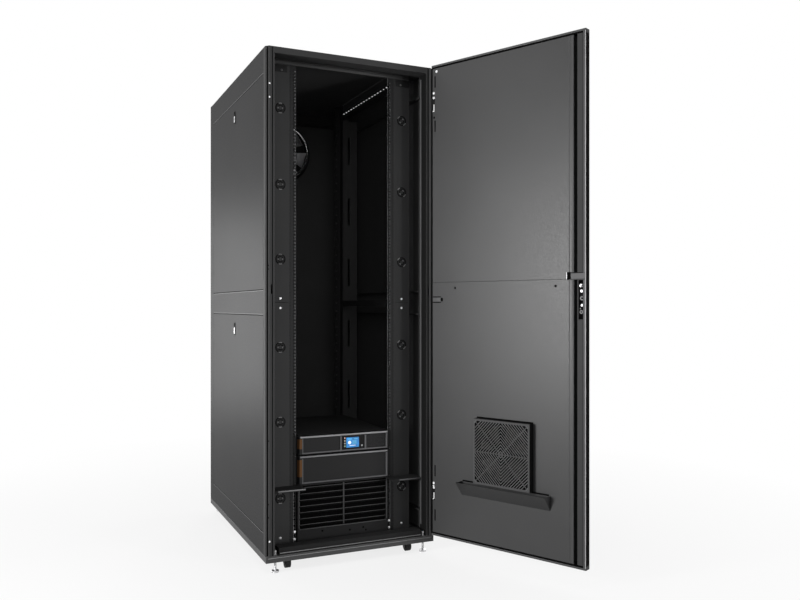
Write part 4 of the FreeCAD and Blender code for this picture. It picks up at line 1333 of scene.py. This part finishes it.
@dataclass
class FrontDoorTrim(Trim):
    """The front door's seals, pale rims of painted highlight, strips of painted shade, screws and lock parts, and the
    mat before its fan.

    A place on the door is a distance from its hinge edge, a height and how far it is proud of the inner face.
    """

    body: str = "front_door"
    hinge: Triple = (0.392, -0.604, 0.0)
    half: float = 0.394
    inner: float = -0.602
    thick: float = 0.030
    bottom: float = 0.077
    top: float = 2.265
    width: float = 0.788
    rim: float = 0.0085
    free_rim: float = 0.012
    seal: float = 0.008
    hinge_shade: float = 0.006
    proud: float = 0.0009
    floor: float = -0.005
    film: float = 0.0004
    sheets: tuple[Pair, ...] = ((0.095, 1.250), (1.281, 2.247))
    sheet_folds: tuple[Four, ...] = ((0.7285, 0.008, 0.0011, 0.0005), (0.7135, 0.0040, 0.0005, 0.0002))
    channel: float = 0.7445
    hinges: Pair = (0.276, 2.084)
    slot: float = 0.020
    slot_rise: float = 0.103
    bright_screws: Rows = ((0.028, 2.234), (0.0115, 2.136), (0.0115, 2.114), (0.0115, 0.320), (0.0115, 0.299))
    dark_screws: Rows = ((0.135, 1.227), (0.650, 1.227), (0.014, 2.022))
    lock: float = 0.769
    lock_plates: tuple[Pair, ...] = ((1.2355, 0.027), (1.138, 0.096))
    lock_head: float = 0.0042
    lock_screw: Pair = (0.768, 1.147)
    barrel: Pair = (0.7655, 1.2265)
    cam_screw: Triple = (0.768, 1.205, -0.001)
    rod: Pair = (0.7777, 1.174)
    rings: tuple[Four, ...] = ((0.001, 1.2265, 0.0022, 0.0058), (-0.001, 1.1756, 0.0040, 0.0086),
                               (-0.004, 1.1200, 0.0034, 0.0078), (-0.008, 1.1335, 0.0004, 0.0028))
    stay: Triple = (0.031, 1.1745, 0.0)
    stay_gaps: Pair = (1.1620, 1.1870)
    hook: Pair = (0.060, 1.1745)
    strap: float = 1.2674
    strap_gaps: Triple = (0.7480, 1.2530, 1.2790)
    strap_block: float = 0.7122
    strap_edge: float = 0.7015
    fan: Triple = (0.400, 0.503, -0.0284)
    fan_scoop_shades: Rows = ((0.400, 0.649, 0.0, 0.288, 0.007), (0.3985, 0.356, 0.0, 0.441, 0.007))

    def turn(self) -> Matrix:
        """The turn from the closed door to the door at rest.

        Returns:
            The matrix of the turn.
        """
        pivot = Vector(self.hinge)
        swing = Matrix.Rotation(math.radians(DOOR_OPENED), 4, "Z")
        return Matrix.Translation(pivot) @ swing @ Matrix.Translation(-pivot)

    def place(self, along: float, height: float, proud: float = 0.0) -> Matrix:
        """A seat on the inner face, at a distance from the hinge edge."""
        return self.turn() @ rear(self.half - along, self.inner + proud, height)

    def build(self) -> None:
        """Makes the door's trim."""
        self.rims()
        self.seals()
        self.sheet_parts()
        self.lock_parts()
        self.stays()
        mat = self.stock("front_filter_mat", "foam", Slot.PLASTIC)
        mat.turned(self.place(*self.fan), block(0.0005, 0.130, 0.0, 0.005), sides=40)
        mat.fit()
        # painted shade: near-black strips above the fan's box and along the scoop's top
        self.bars("front_fan_gasket", "shadow", Slot.PLASTIC, self.fan_scoop_shades, *FOLD)

    def rims(self) -> None:
        """The return flange along the top, the bottom and the free edge, pale as painted highlight, with a brighter
        painted highlight along the free edge.
        """
        middle = (self.bottom + self.top) / 2
        tall = self.top - self.bottom - 2 * self.rim
        rows = [(self.width / 2, height, 0.0, self.width, self.rim)
                for height in (self.bottom + self.rim / 2, self.top - self.rim / 2)]
        rows.append((self.width - self.free_rim / 2, middle, 0.0, self.free_rim, tall))
        self.bars("front_door_rim", "rim_coat", Slot.COAT, rows, self.proud, self.proud * 0.4)
        rows = [(self.width - 0.0018, middle, self.proud, 0.0036, tall)]
        self.bars("front_door_bright_edge", "bare_edge", Slot.COAT, rows, thick=0.0002)

    def seals(self) -> None:
        """The dark seal inside the rim, part gasket and part painted shade, and near-black strips of painted shade
        along the hinge edge and on the free edge's face.
        """
        stock = self.stock("front_door_seal", "shadow", Slot.PLASTIC)
        middle = (self.bottom + self.top) / 2
        reach = self.width - self.free_rim
        inset = self.rim + self.seal / 2
        tall = self.top - self.bottom - 2 * (self.rim + self.seal)
        for along, height, width, rise in ((reach / 2, self.bottom + inset, reach, self.seal),
                                           (reach / 2, self.top - inset, reach, self.seal),
                                           (self.hinge_shade / 2, middle, self.hinge_shade, tall),
                                           (reach - 0.001, middle, 0.002, tall)):
            stock.slab(self.place(along, height), width, rise, thick=self.proud * 0.8, bevel=self.proud * 0.3)
        # painted shade: a near-black strip on the free edge's face
        edge = self.turn() @ seat((-self.half, self.inner - self.thick / 2, middle), (-1, 0, 0))
        stock.slab(edge, 0.026, tall, thick=0.0005)
        stock.fit()

    def sheet_parts(self) -> None:
        """Pale folds along the inner sheets' free edge as painted highlight, near-black strips in the channel and
        behind the slots as painted shade, and the screws.
        """
        folds = self.stock("front_plate_folds", "rim_coat", Slot.COAT)
        for low, high in self.sheets:
            for along, width, thick, ease in self.sheet_folds:
                folds.slab(self.place(along, (low + high) / 2), width, high - low, thick=thick, bevel=ease)
        folds.fit()
        rows = [(self.channel, (self.bottom + self.top) / 2, self.floor, 0.018, self.top - self.bottom - 0.05)]
        self.bars("front_channel_seal", "shadow", Slot.PLASTIC, rows, thick=0.0006)
        rows = [(self.slot, hinge + sign * self.slot_rise, 0.0, 0.0066, 0.0526)
                for hinge in self.hinges for sign in (-1, 1)]
        self.bars("front_plate_slot_backs", "shadow", Slot.PLASTIC, rows, thick=0.0003)
        self.screws("front_door_screws", "bright", Slot.ZINC, self.bright_screws, radius=0.0046, rise=0.2)
        self.screws("front_door_dark_screws", "shadow", Slot.METAL, self.dark_screws, radius=0.0042, rise=0.2)

    def lock_parts(self) -> None:
        """The lock's dark backplate with its screws, barrel, rings and latch rod, and the screw in the cam."""
        rows = [(self.lock, height, self.floor, 0.026, tall) for height, tall in self.lock_plates]
        self.bars("front_lock_plate", "shadow", Slot.PLASTIC, rows, thick=self.film)
        top = self.floor + self.film
        bright = self.stock("front_lock_screws", "bright", Slot.ZINC)
        bright.screw(self.place(*self.lock_screw, top), radius=self.lock_head)
        crescent = [(0.0030, 0.0022), (0.0068, 0.0022), (0.0074, 0.0)]
        bright.turned(self.place(*self.barrel, top), crescent, sides=14, first=70.0, last=250.0)
        rings = self.stock("front_lock_rings", "lip_coat", Slot.METAL)
        for along, height, inner, outer in self.rings:
            ring = [(inner, 0.0), (inner, self.film), (outer - self.film, self.film), (outer, 0.0)]
            rings.turned(self.place(self.lock + along, height, top), ring, sides=20)
        rings.slab(self.place(*self.rod, top), 0.0022, 0.062, thick=self.film, bevel=0.0001)
        cam = self.stock("front_cam_screw", "bright", Slot.ZINC, "front_spindle")
        cam.screw(self.place(*self.cam_screw), radius=self.lock_head, rise=0.4)
        fit(bright, rings, cam)

    def stays(self) -> None:
        """The short stay at the hinge side, the hook at its end, the block at the seam's strap, and near-black strips
        of painted shade above and below the stay and the strap.
        """
        self.bars("front_door_stay", "edge_coat", Slot.COAT, [(*self.stay, 0.046, 0.018)], thick=0.0009, ease=0.0003)
        dark = self.stock("front_door_hooks", "shadow", Slot.PLASTIC)
        for height in self.stay_gaps:
            dark.slab(self.place(self.stay[0], height), 0.046, 0.0045, *HAIR)
        dark.solid(self.place(*self.hook), oval(0.009, 0.016), 0.005)
        dark.slab(self.place(self.strap_block, self.strap), 0.0156, 0.030, thick=0.004, bevel=0.0012)
        for height in self.strap_gaps[1:]:
            dark.slab(self.place(self.strap_gaps[0], height), 0.056, 0.0044, *HAIR)
        dark.fit()
        rows = [(self.strap_edge, self.strap, 0.0, 0.0034, 0.030)]
        self.bars("front_strap_edge", "worn_metal", Slot.ZINC, rows, thick=0.0014, ease=0.0004)


@dataclass
class RearDoorTrim(Trim):
    """The rear door's foam screen, the bright lip of its fan's mouth, the pale folds of its sheet as painted
    highlight, and its screws.
    """

    body: str = "rear_door"
    middle: float = 2.035
    screen: float = 0.591
    mouth: float = 0.530
    outer: float = 0.600
    ring: float = 0.160
    lip: float = 0.1500
    roll: tuple[Pair, ...] = ((-0.0036, -0.002), (-0.0042, 0.0008), (-0.0036, 0.0030), (-0.0020, 0.0046),
                              (0.0, 0.0052), (0.0022, 0.0044), (0.0034, 0.0022), (0.0110, 0.0012), (0.0110, -0.002))
    collar: tuple[Pair, ...] = ((0.010, 0.0), (0.0105, 0.0014), (0.0145, 0.0014), (0.015, 0.0))
    border: Triple = (0.120, 2.222, 0.335)
    fold: float = 0.005
    screw_reach: float = 0.186

    def place(self, x: float, y: float, z: float) -> Matrix:
        """A seat on a face that looks to the rear."""
        return rear(x, y, z)

    def build(self) -> None:
        """Makes the screen, the lip, the pale pressed border of the outer sheet as painted highlight, and its screws.
        """
        screen = self.stock("exhaust_screen", "foam", Slot.PLASTIC)
        screen.turned(self.place(0.0, self.screen, self.middle), block(0.010, 0.1547, 0.0, 0.0015), sides=48)
        rim = self.stock("exhaust_rim", "polished", Slot.ZINC)
        rolled = [(self.lip + out, rise) for out, rise in self.roll]
        rim.turned(seat((0.0, self.mouth, self.middle), (0, -1, 0)), closed(rolled), sides=64)
        folds = self.stock("rear_door_folds", "edge_coat", Slot.COAT)
        low, high, half = self.border
        for x, height, width, tall in ((0.0, low, 2 * half, self.fold), (0.0, high, 2 * half, self.fold),
                                       (-half, (low + high) / 2, self.fold, high - low),
                                       (half, (low + high) / 2, self.fold, high - low)):
            folds.slab(self.place(x, self.outer, height), width, tall, thick=0.0012, bevel=0.0005)
        collar = [(self.ring + out, rise) for out, rise in self.collar]
        folds.turned(self.place(0.0, self.outer, self.middle), collar, sides=64)
        fit(screen, rim, folds)
        turns = [math.radians(22.5 + 45.0 * step) for step in range(8)]
        places = [(self.screw_reach * math.cos(turn), self.outer, self.middle + self.screw_reach * math.sin(turn))
                  for turn in turns]
        self.screws("rear_door_screws", "zinc", Slot.ZINC, places, radius=0.0042)


# Rack units


@dataclass
class PowerFront(Trim):
    """The power unit's lamps, screen marks and fine louvres, and the pale upright edges of both bezels, painted
    highlight.
    """

    floor: float = -0.481
    glass: float = -0.4825
    edge: float = -0.1992
    fields: tuple[Pair, ...] = ((0.3507, 0.4570), (0.4841, 0.5459))
    lamp_x: float = 0.003
    lamp_heights: Four = (0.5360, 0.5235, 0.5115, 0.4990)
    gauge_place: Pair = (0.026, 0.5145)
    level_bar: Pair = (0.041, 0.501)
    gauge: tuple[Pair, ...] = ((0.0004, 0.0003), (0.0074, 0.0003), (0.0078, 0.0))
    pale: tuple[Four, ...] = ((0.050, 0.5155, 0.020, 0.017), (0.028, 0.531, 0.020, 0.006),
                              (0.056, 0.531, 0.018, 0.006))
    louvre: Four = (0.489, 0.546, 0.1575, 0.093)
    slats: int = 9

    def build(self) -> None:
        """Makes the bezels' pale edges of painted highlight, the lamps, the screen's marks and the louvres."""
        rows = [(self.edge, self.floor, (low + high) / 2, 0.0036, high - low) for low, high in self.fields]
        self.bars("bezel_left_edges", "edge_coat", Slot.PLASTIC, rows, thick=0.004, ease=0.0005)
        for lamp, height in zip(Lamp, self.lamp_heights):
            name = "lamp_" + lamp.name.lower()
            rows = [(self.lamp_x, self.floor, height, 0.0044, 0.0052)]
            self.bars(name, name, Slot.SCREEN, rows, thick=0.0012, ease=0.0004)
        white = self.stock("screen_marks", "screen_mark", Slot.SCREEN)
        x, height = self.gauge_place
        white.turned(self.place(x, self.glass, height), list(self.gauge), sides=20)
        x, height = self.level_bar
        white.slab(self.place(x, self.glass, height), 0.030, 0.0022, thick=0.0003)
        white.fit()
        rows = [(x, self.glass, *size) for x, *size in self.pale]
        self.bars("screen_fields", "screen_field", Slot.SCREEN, rows, thick=0.0002)
        low, high, x, width = self.louvre
        pitch = (high - low) / self.slats
        rows = [(x, self.floor, low + (index + 0.5) * pitch, width, pitch * 0.45) for index in range(self.slats)]
        self.bars("power_louvres", "plastic", Slot.PLASTIC, rows, thick=0.003, ease=0.0006)


# Running gear


@dataclass
class FootNuts(Trim):
    """The lock nuts under the base on the levelling feet, and the caps on the feet's stems."""

    feet: tuple[Pair, ...] = ((-0.354, -0.580), (0.354, -0.580), (-0.354, 0.548), (0.354, 0.548))
    nut_low: float = 0.0495
    nut_tall: float = 0.006
    bore: float = 0.0055
    flats: float = 0.0085
    stem_top: float = 0.088
    dome: tuple[Pair, ...] = ((0.0050, 0.0), (0.0054, 0.001), (0.0050, 0.003), (0.0036, 0.0044), (0.0004, 0.0048))

    def build(self) -> None:
        """Makes a hexagonal nut for each foot, below its welded block, and a cap on its stem."""
        nuts = self.stock("foot_lock_nuts", "zinc", Slot.ZINC, smooth=20.0)
        tall, slant = self.nut_tall, self.flats * 0.9
        section = [(self.bore, 0.0), (self.bore, tall), (slant, tall), (self.flats, tall - 0.001),
                   (self.flats, 0.001), (slant, 0.0)]
        for x, y in self.feet:
            nuts.turned(level(x, y, self.nut_low), closed(section), sides=6)
        nuts.fit()
        for (x, y), corner in zip(self.feet, CORNERS):
            cap = self.stock("foot_cap_" + corner, "nylon", Slot.ZINC, "levelling_foot_" + corner, 40.0)
            cap.turned(level(x, y, self.stem_top), list(self.dome), sides=16)
            cap.fit()


# Studio


def hang(name: str, data: bpy.types.ID) -> bpy.types.Object:
    """Puts an object with that data in the scene.

    Args:
        name: The object's name.
        data: Its mesh, light or camera.

    Returns:
        The object.
    """
    made = bpy.data.objects.new(name, data)
    bpy.context.scene.collection.objects.link(made)
    return made


@dataclass(frozen=True)
class SoftBox:
    """A rectangular light that the camera doesn't see."""

    name: str
    where: Triple
    aim: Triple
    size: Pair
    watts: float
    spread: float = 140.0

    def build(self) -> None:
        """Hangs the light and turns it to its aim."""
        data = bpy.data.lights.new(self.name, "AREA")
        data.shape = "RECTANGLE"
        data.size, data.size_y = self.size
        data.energy = self.watts
        data.spread = math.radians(self.spread)
        lamp = hang(self.name, data)
        lamp.location = self.where
        lamp.rotation_euler = (Vector(self.aim) - Vector(self.where)).to_track_quat("-Z", "Y").to_euler()
        lamp.visible_camera = False


LIGHTS = (
    SoftBox("side_strip", (-1.9, 3.2, 1.10), (-0.4, 0.0, 1.10), (1.2, 1.8), 28.0),
    SoftBox("door_key", (-3.4, -1.9, 1.3), (0.6, -1.2, 1.25), (1.3, 1.9), 13.0),
    SoftBox("front_fill", (-1.8, -5.6, 2.6), (0.0, 0.0, 1.1), (2.4, 2.4), 15.0),
    SoftBox("left_wash", (-3.2, 0.4, 1.3), (-0.4, 0.2, 1.2), (2.4, 1.6), 3.6),
    SoftBox("overhead", (-0.4, -0.8, 4.6), (0.0, -0.3, 1.0), (3.0, 3.0), 22.0),
    SoftBox("bay_fill", (2.9, -5.2, 1.2), (-0.3, -0.5, 1.1), (1.0, 1.6), 80.0),
    SoftBox("door_glint", (-3.4, -1.2, 1.35), (0.7, -1.2, 1.3), (0.7, 1.7), 66.0),
    SoftBox("right_fill", (3.4, 1.0, 2.2), (0.4, 0.0, 1.1), (2.4, 2.0), 27.0),
    SoftBox("rear_fill", (1.6, 5.2, 2.4), (0.0, 0.6, 1.1), (3.0, 2.4), 90.0),
)


@dataclass
class Studio:
    """The floor, the lights, the white surroundings and the camera."""

    eye: Triple = (-1.294, -3.911, 1.140)
    yaw: float = -24.685
    lens: float = 35.75
    sensor: float = 36.0
    rise: float = 0.0088
    ambient: float = 0.12
    reach: float = 60.0
    near: float = 0.8
    fade: Pair = (0.9, 3.2)
    dull: Triple = grey(0.14, 0.0)
    pale: Triple = grey(0.8, 0.0)
    white: Triple = grey(1.0, 0.0)
    lights: tuple[SoftBox, ...] = LIGHTS

    def build(self) -> None:
        """Sets up everything round the cabinet."""
        self.floor()
        self.surround()
        for light in self.lights:
            light.build()
        self.camera()
        bpy.context.scene.view_settings.view_transform = "Standard"

    def floor(self) -> None:
        """A pale floor that keeps the cabinet's soft shadow and fades to white away from it."""
        data = bpy.data.meshes.new("floor")
        corners = [(x * self.reach, y * self.reach, 0) for x, y in ((-1, -1), (1, -1), (1, 1), (-1, 1))]
        data.from_pydata(corners, [], [(0, 1, 2, 3)])
        data.materials.append(self.paper())
        floor = hang("floor", data)

    def paper(self) -> Material:
        """White to the camera and in reflections but for the shadow, and a dull grey to all other rays.

        Returns:
            The material.
        """
        board = Skin("floor_paper")
        seen = board.seen()
        away = board.add("ShaderNodeVectorMath", {0: board.coords["Object"]}, operation="LENGTH")
        share = board.both(board.spread(away.outputs["Value"], self.near, 1.0, *self.fade), seen)
        colour = board.mix(seen, shade(self.dull), shade(self.pale))
        board.fill(board.shader, {"Base Color": colour, "Roughness": 1.0, "Specular IOR Level": 0.0})
        glow = board.add("ShaderNodeEmission", {"Strength": 1.0})
        blend = board.add("ShaderNodeMixShader", {0: share, 1: board.shader.outputs[0], 2: glow.outputs[0]})
        board.join(blend.outputs[0], board.output.inputs["Surface"])
        return board.material

    def surround(self) -> None:
        """White to the camera and in reflections, a dim grey as light."""
        world = bpy.data.worlds.new("surround")
        bpy.context.scene.world = world
        board = Board(world)
        dim, full = (board.add("ShaderNodeBackground", {"Color": shade(self.white), "Strength": strength}).outputs[0]
                     for strength in (self.ambient, 1.0))
        blend = board.add("ShaderNodeMixShader", {0: board.seen(), 1: dim, 2: full})
        board.add("ShaderNodeOutputWorld", {"Surface": blend.outputs[0]})

    def camera(self) -> None:
        """A level camera at the photograph's place."""
        data = bpy.data.cameras.new("camera")
        data.lens = self.lens
        data.sensor_width = self.sensor
        data.shift_y = self.rise
        camera = hang("camera", data)
        camera.location = self.eye
        camera.rotation_euler = (math.radians(90.0), 0.0, math.radians(self.yaw))
        bpy.context.scene.camera = camera


def main() -> None:
    """Dresses the cabinet and lights it."""
    logging.basicConfig(level=logging.INFO, format="%(name)s: %(message)s")
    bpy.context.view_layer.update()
    finishes = Finishes()
    groups = (SheetWork, BayFronts, RailLips, FrameTrim, CoolingFront, RoofLights, SeamLines, SideLocks, FrontDoorTrim,
              RearDoorTrim, PowerFront, FootNuts)
    for group in groups:
        group(finishes).build()
        log.info("built %s", group.__name__)
    Studio().build()


if __name__ == "__main__":
    main()
